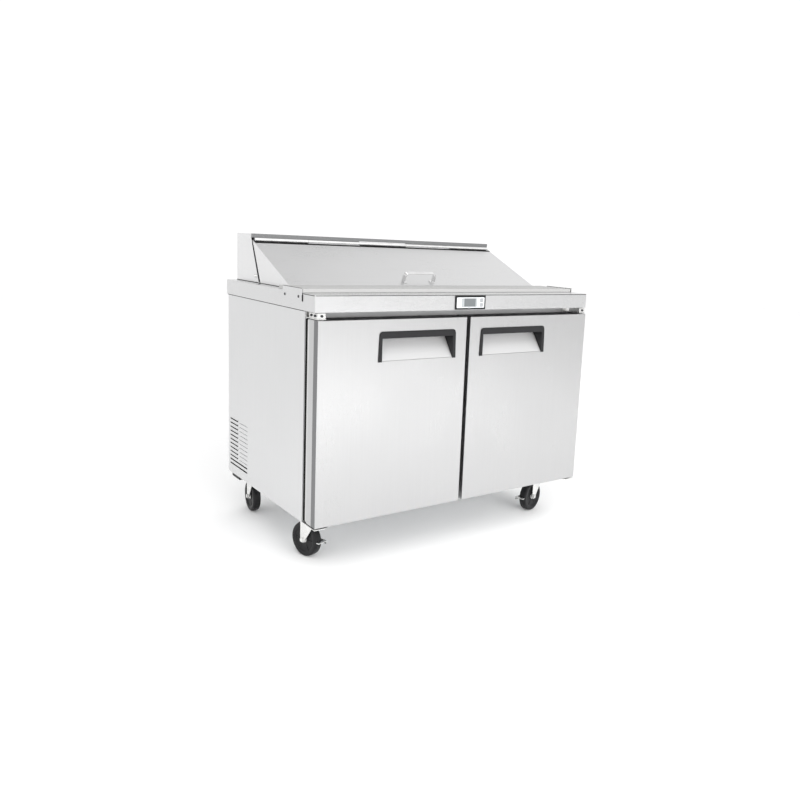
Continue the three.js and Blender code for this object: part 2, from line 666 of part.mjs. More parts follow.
function doorGasket(side) {
  const width = 16;
  const inset = 4;
  const y0 = LINER_BACK + CLEAR;
  const y1 = CABINET_FRONT - 1.2;
  const ring = sideBlock(
    side * (DOOR_INNER + inset), side * (DOOR_OUTER - inset), [y0, DOOR_BOTTOM + inset],
    [y1, DOOR_TOP - inset]);
  const hole = sideBlock(
    side * (DOOR_INNER + inset + width), side * (DOOR_OUTER - inset - width),
    [y0 - 5, DOOR_BOTTOM + inset + width], [y1 + 5, DOOR_TOP - inset - width]);
  return ring.subtract(hole);
}

const HANDLE_ROUND = 12;

// Black moulding around the pocket: a deep band over two narrow legs, a ceiling to pull on and
// two triangular cheeks that run back to the pocket's sloping floor.
function handleTrim(side) {
  const centre = side * HANDLE_X;
  const round = HANDLE_ROUND;
  const lean = (HANDLE_HALF_BOTTOM - HANDLE_HALF_TOP) / (HANDLE_TOP - HANDLE_BOTTOM);
  const outer = new THREE.Shape();
  outer.moveTo(centre - HANDLE_HALF_BOTTOM, HANDLE_BOTTOM);
  outer.lineTo(centre + HANDLE_HALF_BOTTOM, HANDLE_BOTTOM);
  outer.lineTo(centre + HANDLE_HALF_TOP + lean * round, HANDLE_TOP - round);
  outer.absarc(centre + HANDLE_HALF_TOP - round, HANDLE_TOP - round, round, 0, Math.PI / 2, false);
  outer.absarc(centre - HANDLE_HALF_TOP + round, HANDLE_TOP - round, round, Math.PI / 2, Math.PI, false);
  const front = DOOR_FACE - TRIM_PROUD;
  const back = DOOR_FACE - CLEAR;
  const mouthHalf = POCKET_HALF - 2;
  const mouth = block(
    [centre - mouthHalf, front - 5, HANDLE_BOTTOM - 5],
    [centre + mouthHalf, back + 5, HANDLE_TOP - HANDLE_BAND]);
  const frame = prismY(outer, front, back).subtract(mouth);
  const ceiling = block(
    [centre - POCKET_HALF + 0.5, back - 1, POCKET_CEILING - 3.5],
    [centre + POCKET_HALF - 0.5, DOOR_FACE + POCKET_DEPTH - 1, POCKET_CEILING - 0.5]);
  const cheeks = [-1, 1].map((end) => {
    const xa = centre + end * (POCKET_HALF - 0.5);
    const xb = centre + end * (POCKET_HALF - 3);
    const rear = DOOR_FACE + POCKET_DEPTH - 1.5;
    return prismX(outline([
      [back - 1, POCKET_TIP + 2], [DOOR_FACE, POCKET_TIP + 2],
      [rear, POCKET_TIP + POCKET_RISE + 2], [rear, POCKET_CEILING - 0.5], [back - 1, POCKET_CEILING - 0.5],
    ]), Math.min(xa, xb), Math.max(xa, xb));
  });
  return union([frame, ceiling, ...cheeks]);
}

// Upper bracket: a plate on the face frame and a tongue over the door that carries the pin.
function upperHinge(side) {
  const plateBack = CABINET_FRONT - CLEAR;
  const z0 = DOOR_TOP + 2.5;
  const x = side * HINGE_X;
  const plate = sideBlock(side * 560, side * 604, [plateBack - 3, z0], [plateBack, z0 + 20]);
  const tongue = sideBlock(side * 574, side * 604, [-4, z0], [plateBack, z0 + 3]);
  const pin = cylinder(HINGE_PIN_R, [x, HINGE_Y, DOOR_TOP - 16], [x, HINGE_Y, z0 + 6], 16);
  return union([plate, tongue, pin]);
}

// Lower bracket: a tapered plate under the base tray that reaches forward under the door.
function lowerHinge(side) {
  const top = CABINET_BOTTOM - CLEAR;
  const x = side * HINGE_X;
  const points = [[604.8, -8], [560, -8], [524, 20], [524, 92], [604.8, 92]]
    .map(([a, b]) => [side * a, b]);
  const plate = prismZ(outline(side > 0 ? points.reverse() : points), top - 3, top);
  const pin = cylinder(HINGE_PIN_R, [x, HINGE_Y, top - 4.5], [x, HINGE_Y, DOOR_BOTTOM + 16], 16);
  return union([plate, pin]);
}

function addDoors(unit) {
  for (const [name, side] of [['left', -1], ['right', 1]]) {
    node(unit, `door_${name}_skin`, doorSkin(side), stainless);
    node(unit, `door_${name}_liner`, doorLiner(side), linerPlastic);
    node(unit, `door_${name}_gasket`, doorGasket(side), blackRubber);
    node(unit, `door_${name}_handle`, handleTrim(side), blackPlastic);
    node(unit, `upper_hinge_${name}`, upperHinge(side), zincSteel);
    node(unit, `lower_hinge_${name}`, lowerHinge(side), zincSteel);
  }
}

// ---------------------------------------------------------------- controller

const DISPLAY_LEFT = -34;
const DISPLAY_RIGHT = 38;
const BUTTON_X = 59;
const BUTTON_HALF_X = 7;
const BUTTON_HALF_Z = 6;
const BUTTON_Z = { up: 922, down: 905 };
const FACE_FOOT = 897;
const FACE_TOP = 931;

function controllerHousing() {
  const inset = CONTROLLER_BODY_INSET;
  const bezel = block([CONTROLLER_LEFT, -3, CONTROLLER_FOOT], [CONTROLLER_RIGHT, -CLEAR, CONTROLLER_TOP]);
  const body = block(
    [CONTROLLER_LEFT + inset, -1, CONTROLLER_FOOT + inset],
    [CONTROLLER_RIGHT - inset, CONTROLLER_BODY_DEPTH, CONTROLLER_TOP - inset]);
  const window = block([DISPLAY_LEFT - CLEAR, -5, FACE_FOOT], [DISPLAY_RIGHT + CLEAR, 2, FACE_TOP]);
  const wells = Object.values(BUTTON_Z).map((z) => block(
    [BUTTON_X - BUTTON_HALF_X - 0.4, -5, z - BUTTON_HALF_Z - 0.4],
    [BUTTON_X + BUTTON_HALF_X + 0.4, 6, z + BUTTON_HALF_Z + 0.4]));
  return cut(bezel.add(body), [window, ...wells]);
}

function addController(unit) {
  node(unit, 'controller_housing', controllerHousing(), blackPlastic);
  const glass = block([DISPLAY_LEFT, -2, FACE_FOOT + CLEAR], [DISPLAY_RIGHT, 2 - CLEAR, FACE_TOP - CLEAR]);
  node(unit, 'controller_display', glass, displayGlass);
  for (const [name, z] of Object.entries(BUTTON_Z)) {
    const cap = block(
      [BUTTON_X - BUTTON_HALF_X, -4, z - BUTTON_HALF_Z], [BUTTON_X + BUTTON_HALF_X, 3.5, z + BUTTON_HALF_Z]);
    node(unit, `controller_button_${name}`, cap, greyButton);
  }
}

// ---------------------------------------------------------------- cabinet fittings

const SHELF_NEAR = 12;
const SHELF_FAR = 557;
const SHELF_FOOT = STEP_TOP + CLEAR;
const SHELF_REAR = 560;
const SHELF_WIRES = 13;
const SHELF_BAR = 7;
const SHELF_WIRE = 4;

// Wire shelf: a border and wires from front to back, all in one plane.
function wireShelf(side) {
  const top = SHELF_FOOT + SHELF_BAR;
  const plate = sideBlock(
    side * SHELF_NEAR, side * SHELF_FAR, [SHELF_FRONT, SHELF_FOOT], [SHELF_REAR, top]);
  const hole = sideBlock(
    side * (SHELF_NEAR + SHELF_BAR), side * (SHELF_FAR - SHELF_BAR),
    [SHELF_FRONT + SHELF_BAR, SHELF_FOOT - 5], [SHELF_REAR - SHELF_BAR, top + 5]);
  const pitch = (SHELF_FAR - SHELF_NEAR - SHELF_BAR) / (SHELF_WIRES + 1);
  const wires = [];
  for (let i = 1; i <= SHELF_WIRES; i += 1) {
    const x = SHELF_NEAR + SHELF_BAR / 2 + i * pitch;
    wires.push(sideBlock(
      side * (x - SHELF_WIRE / 2), side * (x + SHELF_WIRE / 2), [SHELF_FRONT + 1, SHELF_FOOT + 1],
      [SHELF_REAR - 1, top - 1]));
  }
  return union([plate.subtract(hole), ...wires]);
}

// Fan wheel: a hub and pitched blades, turning about its own z.
function fanWheel(radius, hubRadius, depth, blades) {
  const hub = cylinder(hubRadius, [0, 0, -depth / 2], [0, 0, depth / 2], 16);
  const parts = [hub];
  for (let i = 0; i < blades; i += 1) {
    const blade = new THREE.BoxGeometry(radius - hubRadius + 3, radius * 0.62, 1.8);
    blade.rotateX(THREE.MathUtils.degToRad(24));
    blade.translate((radius + hubRadius) / 2 - 3, 0, 0);
    blade.rotateZ((i * 2 * Math.PI) / blades);
    parts.push(solid(blade));
  }
  return union(parts);
}

function finBlock(length, depth, height, fins) {
  const core = block([0, 0, 0], [length, depth, height]);
  const pitch = (length - 20) / fins;
  const grooves = [];
  for (let i = 0; i < fins; i += 1) {
    const x = 10 + (i + 0.25) * pitch;
    grooves.push(block([x, -5, 8], [x + pitch / 2, depth * 0.3, height - 8]));
  }
  return cut(core, grooves);
}

const EVAPORATOR_HALF = 230;
const EVAPORATOR_FRONT = 622;
const EVAPORATOR_FOOT = 560;
const EVAPORATOR_TOP = 745;
const EVAPORATOR_FAN_R = 62;
const EVAPORATOR_FAN_Y = 640;
const EVAPORATOR_COIL = [420, 42, 150];

// Cover over the cooling coil, open at the back, with a round fan mouth and an inlet slot below.
function evaporatorCover() {
  const centre = (EVAPORATOR_FOOT + EVAPORATOR_TOP) / 2;
  const rear = CAVITY_REAR - CLEAR;
  const shell = block(
    [-EVAPORATOR_HALF, EVAPORATOR_FRONT, EVAPORATOR_FOOT], [EVAPORATOR_HALF, rear, EVAPORATOR_TOP]);
  const hollow = block(
    [-EVAPORATOR_HALF + 2, EVAPORATOR_FRONT + 2, EVAPORATOR_FOOT + 2],
    [EVAPORATOR_HALF - 2, rear + 5, EVAPORATOR_TOP - 2]);
  const mouth = cylinder(
    EVAPORATOR_FAN_R + 5, [0, EVAPORATOR_FRONT - 5, centre], [0, EVAPORATOR_FRONT + 5, centre], 24);
  const inlets = [-1, 1].map((side) => sideBlock(
    side * (EVAPORATOR_HALF - 140), side * (EVAPORATOR_HALF - 20),
    [EVAPORATOR_FRONT + 15, EVAPORATOR_FOOT - 5], [rear - 20, EVAPORATOR_FOOT + 5]));
  return cut(shell, [hollow, mouth, ...inlets]);
}

function addFittings(unit) {
  node(unit, 'shelf_left', wireShelf(-1), polished);
  node(unit, 'shelf_right', wireShelf(1), polished);
  node(unit, 'evaporator_cover', evaporatorCover(), stainless);
  const [length, depth, height] = EVAPORATOR_COIL;
  const coil = node(unit, 'evaporator_coil', finBlock(length, depth, height, 12), bareFins);
  coil.position.set(-length / 2, EVAPORATOR_FRONT + 40, EVAPORATOR_FOOT + 15);
  const fan = node(unit, 'evaporator_fan', fanWheel(EVAPORATOR_FAN_R, 20, 16, 5), blackPlastic);
  fan.position.set(0, EVAPORATOR_FAN_Y, (EVAPORATOR_FOOT + EVAPORATOR_TOP) / 2);
  fan.rotation.x = -Math.PI / 2;
}

// ---------------------------------------------------------------- machine compartment

const CONDENSER_X = -560;
const CONDENSER_FAN_X = -480;
const CONDENSER_FAN_R = 88;
const CONDENSER_Y = 632;
const CONDENSER_Z = 290;
const CONDENSER_COIL = [210, 45, 228];
const COMPRESSOR_X = -250;

// Welded steel pot of the compressor on its mounting foot.
function compressor() {
  const profile = [
    [0, 14], [82, 14], [86, 24], [86, 120], [80, 146], [62, 166], [34, 176], [0, 178],
  ].map(([r, h]) => new THREE.Vector2(r, h));
  const pot = new THREE.LatheGeometry(profile, 20);
  pot.rotateX(Math.PI / 2);
  const foot = block([-105, -88, 0], [105, 88, 4]);
  const stand = cylinder(60, [0, 0, 2], [0, 0, 20]);
  return union([solid(pot), foot, stand]);
}

function addMachine(unit) {
  const floor = CABINET_BOTTOM + BASE_THICKNESS + CLEAR;
  const pot = node(unit, 'compressor', compressor(), blackPaint);
  pot.position.set(COMPRESSOR_X, CONDENSER_Y, floor);
  const [length, depth, height] = CONDENSER_COIL;
  const coil = node(unit, 'condenser_coil', finBlock(length, depth, height, 8), bareFins);
  coil.rotation.z = -Math.PI / 2;
  coil.position.set(CONDENSER_X, CONDENSER_Y + length / 2, floor);
  const fan = node(unit, 'condenser_fan', fanWheel(CONDENSER_FAN_R, 26, 22, 5), blackPlastic);
  fan.position.set(CONDENSER_FAN_X, CONDENSER_Y, CONDENSER_Z);
  fan.rotation.y = Math.PI / 2;
  const gland = union([
    cylinder(GLAND_R, [GLAND_X, CABINET_REAR - 14, GLAND_Z], [GLAND_X, CABINET_REAR + 2, GLAND_Z]),
    cylinder(GLAND_R + 4, [GLAND_X, CABINET_REAR + CLEAR, GLAND_Z], [GLAND_X, CABINET_REAR + 4.5, GLAND_Z]),
  ]).subtract(cylinder(5, [GLAND_X, CABINET_REAR - 20, GLAND_Z], [GLAND_X, CABINET_REAR + 10, GLAND_Z], 12));
  node(unit, 'cord_gland', gland, blackPlastic);
}

// ---------------------------------------------------------------- casters

const PLATE_FOOT = 163;
const RACEWAY_FOOT = 150;
const CROWN_TOP = RACEWAY_FOOT - CLEAR;
const CROWN_FOOT = 134;
const LEG_INNER = 18;
const LEG_OUTER = 21;
const LEG_TIP_R = 11;
const CROWN_BACK = -26;
const CROWN_SHEET = 3;
const BOLT_R = 5;

// Top plate with the raceway, kingpin and nut that the fork turns on.
function casterPlate() {
  const plate = block([-50, -42, PLATE_FOOT], [50, 42, CABINET_BOTTOM - CLEAR]);
  const raceway = cylinder(29, [0, 0, RACEWAY_FOOT], [0, 0, PLATE_FOOT + 1], 16);
  const kingpin = cylinder(6, [0, 0, CROWN_FOOT - 6], [0, 0, RACEWAY_FOOT + 1], 12);
  const nut = cylinder(9, [0, 0, CROWN_FOOT - 7], [0, 0, CROWN_FOOT - 1], 6);
  return union([plate, raceway, kingpin, nut]);
}

function forkLeg(y0, y1) {
  const shape = new THREE.Shape();
  shape.moveTo(CROWN_BACK, CROWN_FOOT + CROWN_SHEET);
  shape.lineTo(CROWN_BACK, CROWN_FOOT - 2);
  shape.absarc(TRAIL, WHEEL_R, LEG_TIP_R, Math.PI * 1.14, 2 * Math.PI, false);
  shape.lineTo(TRAIL + LEG_TIP_R, CROWN_FOOT + CROWN_SHEET);
  return prismY(shape, y0, y1);
}

// Stamped fork with its crown, two tapered legs and the axle bolt; x runs along the trail.
function casterFork() {
  const crown = block(
    [CROWN_BACK - 2, -LEG_OUTER, CROWN_FOOT], [TRAIL + LEG_TIP_R, LEG_OUTER, CROWN_FOOT + CROWN_SHEET]);
  const race = cylinder(27, [0, 0, CROWN_FOOT + 2], [0, 0, CROWN_TOP], 16);
  const legs = [forkLeg(LEG_INNER, LEG_OUTER), forkLeg(-LEG_OUTER, -LEG_INNER)];
  const bolt = cylinder(BOLT_R, [TRAIL, -28, WHEEL_R], [TRAIL, 25, WHEEL_R], 12);
  const head = cylinder(8.5, [TRAIL, LEG_OUTER - 1, WHEEL_R], [TRAIL, 26, WHEEL_R], 6);
  const nut = cylinder(8.5, [TRAIL, -30, WHEEL_R], [TRAIL, -25.5, WHEEL_R], 6);
  const hole = cylinder(6.6, [0, 0, CROWN_FOOT - 5], [0, 0, CROWN_TOP + 5], 12);
  return union([cut(union([crown, race]), [hole]), ...legs, bolt, head, nut]);
}

// Moulded wheel with a rounded tread and recessed sides, turning about its own y.
function casterWheel() {
  const half = WHEEL_WIDTH / 2;
  const web = half - 4;
  const bore = BOLT_R + 0.4;
  const profile = [
    [bore, -web], [44, -web], [48, -half], [WHEEL_R - 4, -half], [WHEEL_R, -8],
    [WHEEL_R, 8], [WHEEL_R - 4, half], [48, half], [44, web], [bore, web], [bore, -web],
  ].map(([r, y]) => new THREE.Vector2(r, y));
  return solid(new THREE.LatheGeometry(profile, 24));
}

const PEDAL_REACH = 78;
const PEDAL_START = WHEEL_R + 3.5;

// Brake lever on the axle bolt, outside the far leg, ending in a foot tab past the tread. Its
// frame has the axle at the origin and reaches along x.
function brakePedal(direction) {
  const y0 = -25;
  const y1 = -21.5;
  const arm = sideBlock(0, direction * PEDAL_REACH, [y0, -6], [y1, 6])
    .add(cylinder(9, [0, y0, 0], [0, y1, 0]));
  const tab = sideBlock(direction * PEDAL_START, direction * PEDAL_REACH, [y0, 1.5], [15, 5]);
  const bore = cylinder(BOLT_R + 0.5, [0, y0 - 5, 0], [0, y1 + 5, 0]);
  return union([arm, tab]).subtract(bore);
}

function addCasters(unit) {
  for (const caster of CASTERS) {
    const plate = node(unit, `caster_plate_${caster.name}`, casterPlate(), zincSteel);
    plate.position.set(caster.x, caster.y, 0);
    const swivel = new THREE.Group();
    swivel.position.set(caster.x, caster.y, 0);
    swivel.rotation.z = THREE.MathUtils.degToRad(caster.heading);
    unit.add(swivel);
    node(swivel, `caster_fork_${caster.name}`, casterFork(), zincSteel);
    const wheel = node(swivel, `caster_wheel_${caster.name}`, casterWheel(), wheelRubber);
    wheel.position.set(TRAIL, 0, WHEEL_R);
    if (caster.pedal !== 0) {
      const pedal = node(swivel, `brake_pedal_${caster.name}`, brakePedal(caster.pedal), zincSteel);
      pedal.position.set(TRAIL, 0, WHEEL_R);
    }
  }
}

// ---------------------------------------------------------------- assembly

const group = new THREE.Group();
const unit = new THREE.Group();
unit.position.y = -(DEPTH - DOOR_PROUD - TRIM_PROUD) / 2;
group.add(unit);

addCabinet(unit);
addWorkSurface(unit);
addPans(unit);
addHood(unit);
addDoors(unit);
addController(unit);
addFittings(unit);
addMachine(unit);
addCasters(unit);

export default group;
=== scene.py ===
# Looks of a sandwich prep table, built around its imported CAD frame: finishes for every sheet and
# moulding, fine pieces added to the CAD solids or standing in for them, the camera and the studio.
# Lengths are metres in the CAD frame: the front faces -Y, +Z is up, the origin is on the floor.

import json
import math

import bmesh
import bpy
from mathutils import Matrix, Vector


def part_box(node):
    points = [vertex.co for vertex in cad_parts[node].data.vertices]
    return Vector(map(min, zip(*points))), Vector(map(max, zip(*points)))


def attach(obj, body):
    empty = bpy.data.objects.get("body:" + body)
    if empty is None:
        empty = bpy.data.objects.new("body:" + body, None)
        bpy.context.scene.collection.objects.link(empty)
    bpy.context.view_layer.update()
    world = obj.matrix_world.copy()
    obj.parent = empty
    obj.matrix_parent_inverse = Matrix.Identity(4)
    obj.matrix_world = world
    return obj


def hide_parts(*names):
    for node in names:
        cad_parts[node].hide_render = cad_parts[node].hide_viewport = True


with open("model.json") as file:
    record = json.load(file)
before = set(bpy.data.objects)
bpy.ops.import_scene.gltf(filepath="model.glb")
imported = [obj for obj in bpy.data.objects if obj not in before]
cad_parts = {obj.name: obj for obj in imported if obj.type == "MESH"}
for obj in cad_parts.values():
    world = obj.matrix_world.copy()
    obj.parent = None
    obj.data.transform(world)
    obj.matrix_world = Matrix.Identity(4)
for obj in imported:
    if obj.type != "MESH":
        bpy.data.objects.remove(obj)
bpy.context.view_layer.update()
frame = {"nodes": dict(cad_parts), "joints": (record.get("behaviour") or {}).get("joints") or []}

MM = 0.001
LEFT_RIGHT = (("left", -1), ("right", 1))
CASTERS = ("front_left", "front_right", "rear_left", "rear_right")

# ---------------------------------------------------------------- camera

CAMERA_PLACE = (-1.709, -2.548, 1.1285)
CAMERA_HEADING = math.radians(36.65)    # from +Y towards +X
CAMERA_PITCH = math.radians(-9.53)
CAMERA_ROLL = math.radians(2.64)
CAMERA_LENS = 34.33                     # mm on a 36 mm sensor
CAMERA_SHIFT = (-0.0559, -0.0381)


def add_camera():
    data = bpy.data.cameras.new("camera")
    data.lens = CAMERA_LENS
    data.sensor_width = 36
    data.shift_x, data.shift_y = CAMERA_SHIFT
    data.clip_end = 60
    ahead = Vector((
        math.sin(CAMERA_HEADING) * math.cos(CAMERA_PITCH),
        math.cos(CAMERA_HEADING) * math.cos(CAMERA_PITCH),
        math.sin(CAMERA_PITCH)))
    level = ahead.cross(Vector((0, 0, 1))).normalized()
    above = level.cross(ahead)
    right = level * math.cos(CAMERA_ROLL) + above * math.sin(CAMERA_ROLL)
    up = right.cross(ahead)
    turn = Matrix((right, up, -ahead)).transposed().to_4x4()
    camera = bpy.data.objects.new("camera", data)
    camera.matrix_world = Matrix.Translation(CAMERA_PLACE) @ turn
    bpy.context.scene.collection.objects.link(camera)
    bpy.context.scene.camera = camera


# ---------------------------------------------------------------- material nodes


class Graph:
    """A material's node tree with short calls for the nodes that the finishes share."""

    def __init__(self, name):
        self.material = bpy.data.materials.new(name)
        self.material.use_nodes = True
        self.tree = self.material.node_tree
        self.shader = self.tree.nodes["Principled BSDF"]
        coordinates = self.tree.nodes.new("ShaderNodeTexCoord")
        self.position = coordinates.outputs["Object"]

    def link(self, source, target):
        self.tree.links.new(source, target)

    def scaled(self, scale):
        mapping = self.tree.nodes.new("ShaderNodeMapping")
        mapping.inputs["Scale"].default_value = scale
        self.link(self.position, mapping.inputs["Vector"])
        return mapping.outputs["Vector"]

    def noise(self, scale, detail=3.0, roughness=0.55, stretch=(1, 1, 1)):
        """Noise of scale features a metre, drawn out along the axes where stretch is small."""
        node = self.tree.nodes.new("ShaderNodeTexNoise")
        node.inputs["Scale"].default_value = 1.0
        node.inputs["Detail"].default_value = detail
        node.inputs["Roughness"].default_value = roughness
        self.link(self.scaled([scale * s for s in stretch]), node.inputs["Vector"])
        return node.outputs["Fac"]

    def cells(self, scale):
        node = self.tree.nodes.new("ShaderNodeTexVoronoi")
        node.inputs["Scale"].default_value = 1.0
        self.link(self.scaled([scale] * 3), node.inputs["Vector"])
        split = self.tree.nodes.new("ShaderNodeSeparateColor")
        self.link(node.outputs["Color"], split.inputs["Color"])
        return split.outputs["Red"]

    def ramp(self, value, low, high, span=(0.3, 0.7)):
        """value, mapped from span to the range low to high."""
        node = self.tree.nodes.new("ShaderNodeMapRange")
        node.inputs["From Min"].default_value = span[0]
        node.inputs["From Max"].default_value = span[1]
        node.inputs["To Min"].default_value = low
        node.inputs["To Max"].default_value = high
        self.link(value, node.inputs["Value"])
        return node.outputs["Result"]

    def mixed(self, value, first, second):
        node = self.tree.nodes.new("ShaderNodeMix")
        node.data_type = "RGBA"
        self.link(value, node.inputs["Factor"])
        node.inputs["A"].default_value = (*first, 1)
        node.inputs["B"].default_value = (*second, 1)
        return node.outputs["Result"]

    def sum(self, a, b):
        node = self.tree.nodes.new("ShaderNodeMath")
        node.operation = "ADD"
        self.link(a, node.inputs[0])
        self.link(b, node.inputs[1])
        return node.outputs["Value"]

    def bump(self, height, depth, strength=1.0):
        node = self.tree.nodes.new("ShaderNodeBump")
        node.inputs["Distance"].default_value = depth
        node.inputs["Strength"].default_value = strength
        self.link(height, node.inputs["Height"])
        self.link(node.outputs["Normal"], self.shader.inputs["Normal"])

    def set(self, name, value):
        self.shader.inputs[name].default_value = value


def shade(color, factor):
    return [min(1.0, c * factor) for c in color]


def brushed(name, color, roughness, grain, metal=1.0):
    """Brushed sheet. grain is the axis that the brushing runs along."""
    spread = 0.025      # between the streaks' lightest and darkest tone
    g = Graph(name)
    stretch = [0.012 if axis == grain else 1.0 for axis in "xyz"]
    fine = g.noise(2600, 2.0, 0.6, stretch)
    streaks = g.noise(260, 3.0, 0.6, stretch)
    smudges = g.noise(4.5, 4.0, 0.6)
    g.link(g.mixed(g.ramp(streaks, 0, 1), shade(color, 1 - spread / 2), shade(color, 1 + spread / 2)),
           g.shader.inputs["Base Color"])
    rough = g.sum(
        g.ramp(fine, -0.04, 0.04), g.ramp(smudges, roughness - 0.035, roughness + 0.035))
    g.link(rough, g.shader.inputs["Roughness"])
    g.bump(g.sum(fine, streaks), 0.00003, 0.35)
    g.set("Metallic", metal)
    return g.material


def galvanised(name, color):
    g = Graph(name)
    spangle = g.cells(140)
    clouds = g.noise(9, 4.0)
    g.link(g.mixed(spangle, shade(color, 0.86), shade(color, 1.1)), g.shader.inputs["Base Color"])
    g.link(g.sum(g.ramp(spangle, -0.08, 0.08, (0, 1)), g.ramp(clouds, 0.4, 0.52)),
           g.shader.inputs["Roughness"])
    g.bump(spangle, 0.00002, 0.4)
    g.set("Metallic", 0.9)
    return g.material


def bright_metal(name, color, roughness, marks=0.06):
    """Plated or polished metal with faint handling marks."""
    g = Graph(name)
    clouds = g.noise(30, 4.0, 0.6)
    specks = g.noise(420, 3.0, 0.65)
    g.link(g.mixed(g.ramp(clouds, 0, 1), shade(color, 0.93), shade(color, 1.05)),
           g.shader.inputs["Base Color"])
    g.link(g.sum(g.ramp(clouds, roughness - marks / 2, roughness + marks / 2), g.ramp(specks, -0.02, 0.03)),
           g.shader.inputs["Roughness"])
    g.bump(specks, 0.00003, 0.3)
    g.set("Metallic", 1.0)
    return g.material


def moulded(name, color, roughness, texture=1400, depth=0.00006, gloss=0.4, dust=0.12):
    """Moulded plastic or rubber with a leather-fine texture and a little dust."""
    g = Graph(name)
    pores = g.noise(texture, 2.0, 0.5)
    patches = g.noise(14, 5.0, 0.6)
    light = [c + dust * 0.12 for c in color]
    g.link(g.mixed(g.ramp(patches, 0, 1), color, light), g.shader.inputs["Base Color"])
    g.link(g.sum(g.ramp(patches, roughness - 0.06, roughness + 0.06), g.ramp(pores, -0.03, 0.03)),
           g.shader.inputs["Roughness"])
    g.bump(pores, depth, 0.5)
    g.set("Specular IOR Level", gloss)
    return g.material


def board_plastic(name, color):
    """White polyethylene with a fine grain and shallow knife marks that cross it."""
    g = Graph(name)
    grain = g.noise(900, 2.0, 0.5)
    cuts = g.ramp(g.noise(420, 1.0, 0.4, (1.0, 0.03, 1.0)), 0, 1, (0.66, 0.7))
    clouds = g.noise(7, 4.0)
    g.link(g.mixed(g.sum(g.ramp(clouds, 0, 0.6), g.ramp(cuts, 0, 0.4, (0, 1))), color, shade(color, 0.95)),
           g.shader.inputs["Base Color"])
    g.link(g.ramp(clouds, 0.5, 0.64), g.shader.inputs["Roughness"])
    g.bump(g.sum(g.ramp(grain, 0, 0.5), g.ramp(cuts, 0, -0.6, (0, 1))), 0.00008, 0.4)
    return g.material


def floor_material():
    g = Graph("studio_floor")
    clouds = g.noise(0.8, 3.0)
    tone = g.mixed(g.ramp(clouds, 0, 1), (0.93, 0.93, 0.93), (0.95, 0.95, 0.95))
    g.link(tone, g.shader.inputs["Base Color"])
    g.link(g.ramp(clouds, 0.7, 0.8), g.shader.inputs["Roughness"])
    g.set("Specular IOR Level", 0.2)
    return g.material


# Painted light and shade: door, side, top, hood, header and pocket steel are one stainless steel in copies
# whose base tones are set to the light each face takes, the doors darkest and the hood and header lightest.
# The pocket's copy is also half diffuse, which paints the pocket's floor as evenly lit in place of its dark
# reflection of the pocket's ceiling.
BRUSHED = {
    "door_steel": ((0.55, 0.55, 0.552), 0.32, "z"),
    "side_steel": ((0.68, 0.682, 0.685), 0.36, "z"),
    "top_steel": ((0.66, 0.66, 0.663), 0.3, "x"),
    "hood_steel": ((0.75, 0.75, 0.753), 0.32, "x"),
    # The hinge rail's steel, made dark: a painted dark reflection on the rail's front face.
    "rail_steel": ((0.26, 0.262, 0.266), 0.34, "x"),
    # The doors' edge strips, made dark: a painted dark reflection along the doors' rounded hinge-side edges.
    "trim_steel": ((0.20, 0.20, 0.205), 0.38, "z"),
    "header_steel": ((0.72, 0.72, 0.725), 0.4, "x"),
    "pocket_steel": ((0.56, 0.56, 0.562), 0.5, "x", 0.45),
    "pan_steel": ((0.72, 0.722, 0.725), 0.3, "x", 0.6),
    "liner_metal": ((0.74, 0.742, 0.745), 0.42, "x", 0.5),
}
BRIGHT = {
    "zinc_steel": ((0.80, 0.80, 0.79), 0.26),
    # Polished steel for the lid handle and the hinge knuckles; on the knuckles, brighter than the hood's
    # steel, it also paints the highlight line along the hinge.
    "polished_steel": ((0.88, 0.88, 0.88), 0.14),
    "shelf_wire": ((0.80, 0.81, 0.82), 0.22),
    "fin_metal": ((0.66, 0.69, 0.70), 0.4, 0.12),
    "dark_screw": ((0.07, 0.07, 0.075), 0.35),
    "copper": ((0.72, 0.38, 0.24), 0.3, 0.14),
}
MOULDED = {
    "white_plastic": ((0.60, 0.60, 0.595), 0.42, 800, 0.00004, 0.4, 0.1),
    "handle_plastic": ((0.010, 0.010, 0.011), 0.5, 1400, 0.00006, 0.3, 0.03),
    "bezel_plastic": ((0.008, 0.008, 0.009), 0.45, 1400, 0.00006, 0.25, 0.03),
    # Black rubber for the seals, and for black strips that paint shadow lines and dark reflections
    "seal_rubber": ((0.005, 0.005, 0.005), 0.62, 1800, 0.00004, 0.15, 0.03),
    "wheel_rubber": ((0.006, 0.006, 0.007), 0.44, 900, 0.00008, 0.3, 0.04),
    "fan_plastic": ((0.03, 0.03, 0.03), 0.5),
    "button_plastic": ((0.30, 0.31, 0.32), 0.4, 1600, 0.00003),
    "panel_plastic": ((0.62, 0.63, 0.64), 0.34, 1600, 0.00003),
    "window_plastic": ((0.34, 0.36, 0.37), 0.16, 500, 0.00001, 0.6, 0.05),
    "dark_window": ((0.13, 0.14, 0.145), 0.1, 500, 0.00001, 0.7, 0.04),
    "compressor_paint": ((0.014, 0.014, 0.016), 0.22, 260, 0.00008, 0.6),
}
FINISHES = {
    "galvanised_sheet": galvanised("galvanised_sheet", (0.62, 0.635, 0.645)),
    # The white board's tone is set mid grey: painted shade on its top.
    "cutting_board": board_plastic("cutting_board", (0.42, 0.42, 0.416)),
}
for make, table in ((brushed, BRUSHED), (bright_metal, BRIGHT), (moulded, MOULDED)):
    for title, values in table.items():
        FINISHES[title] = make(title, *values)

# ---------------------------------------------------------------- mesh helpers

FLAT_ANGLE = math.radians(0.5)      # facets that differ by less make one flat face
SHARP_ANGLE = math.radians(32)      # edges that turn by more are rounded


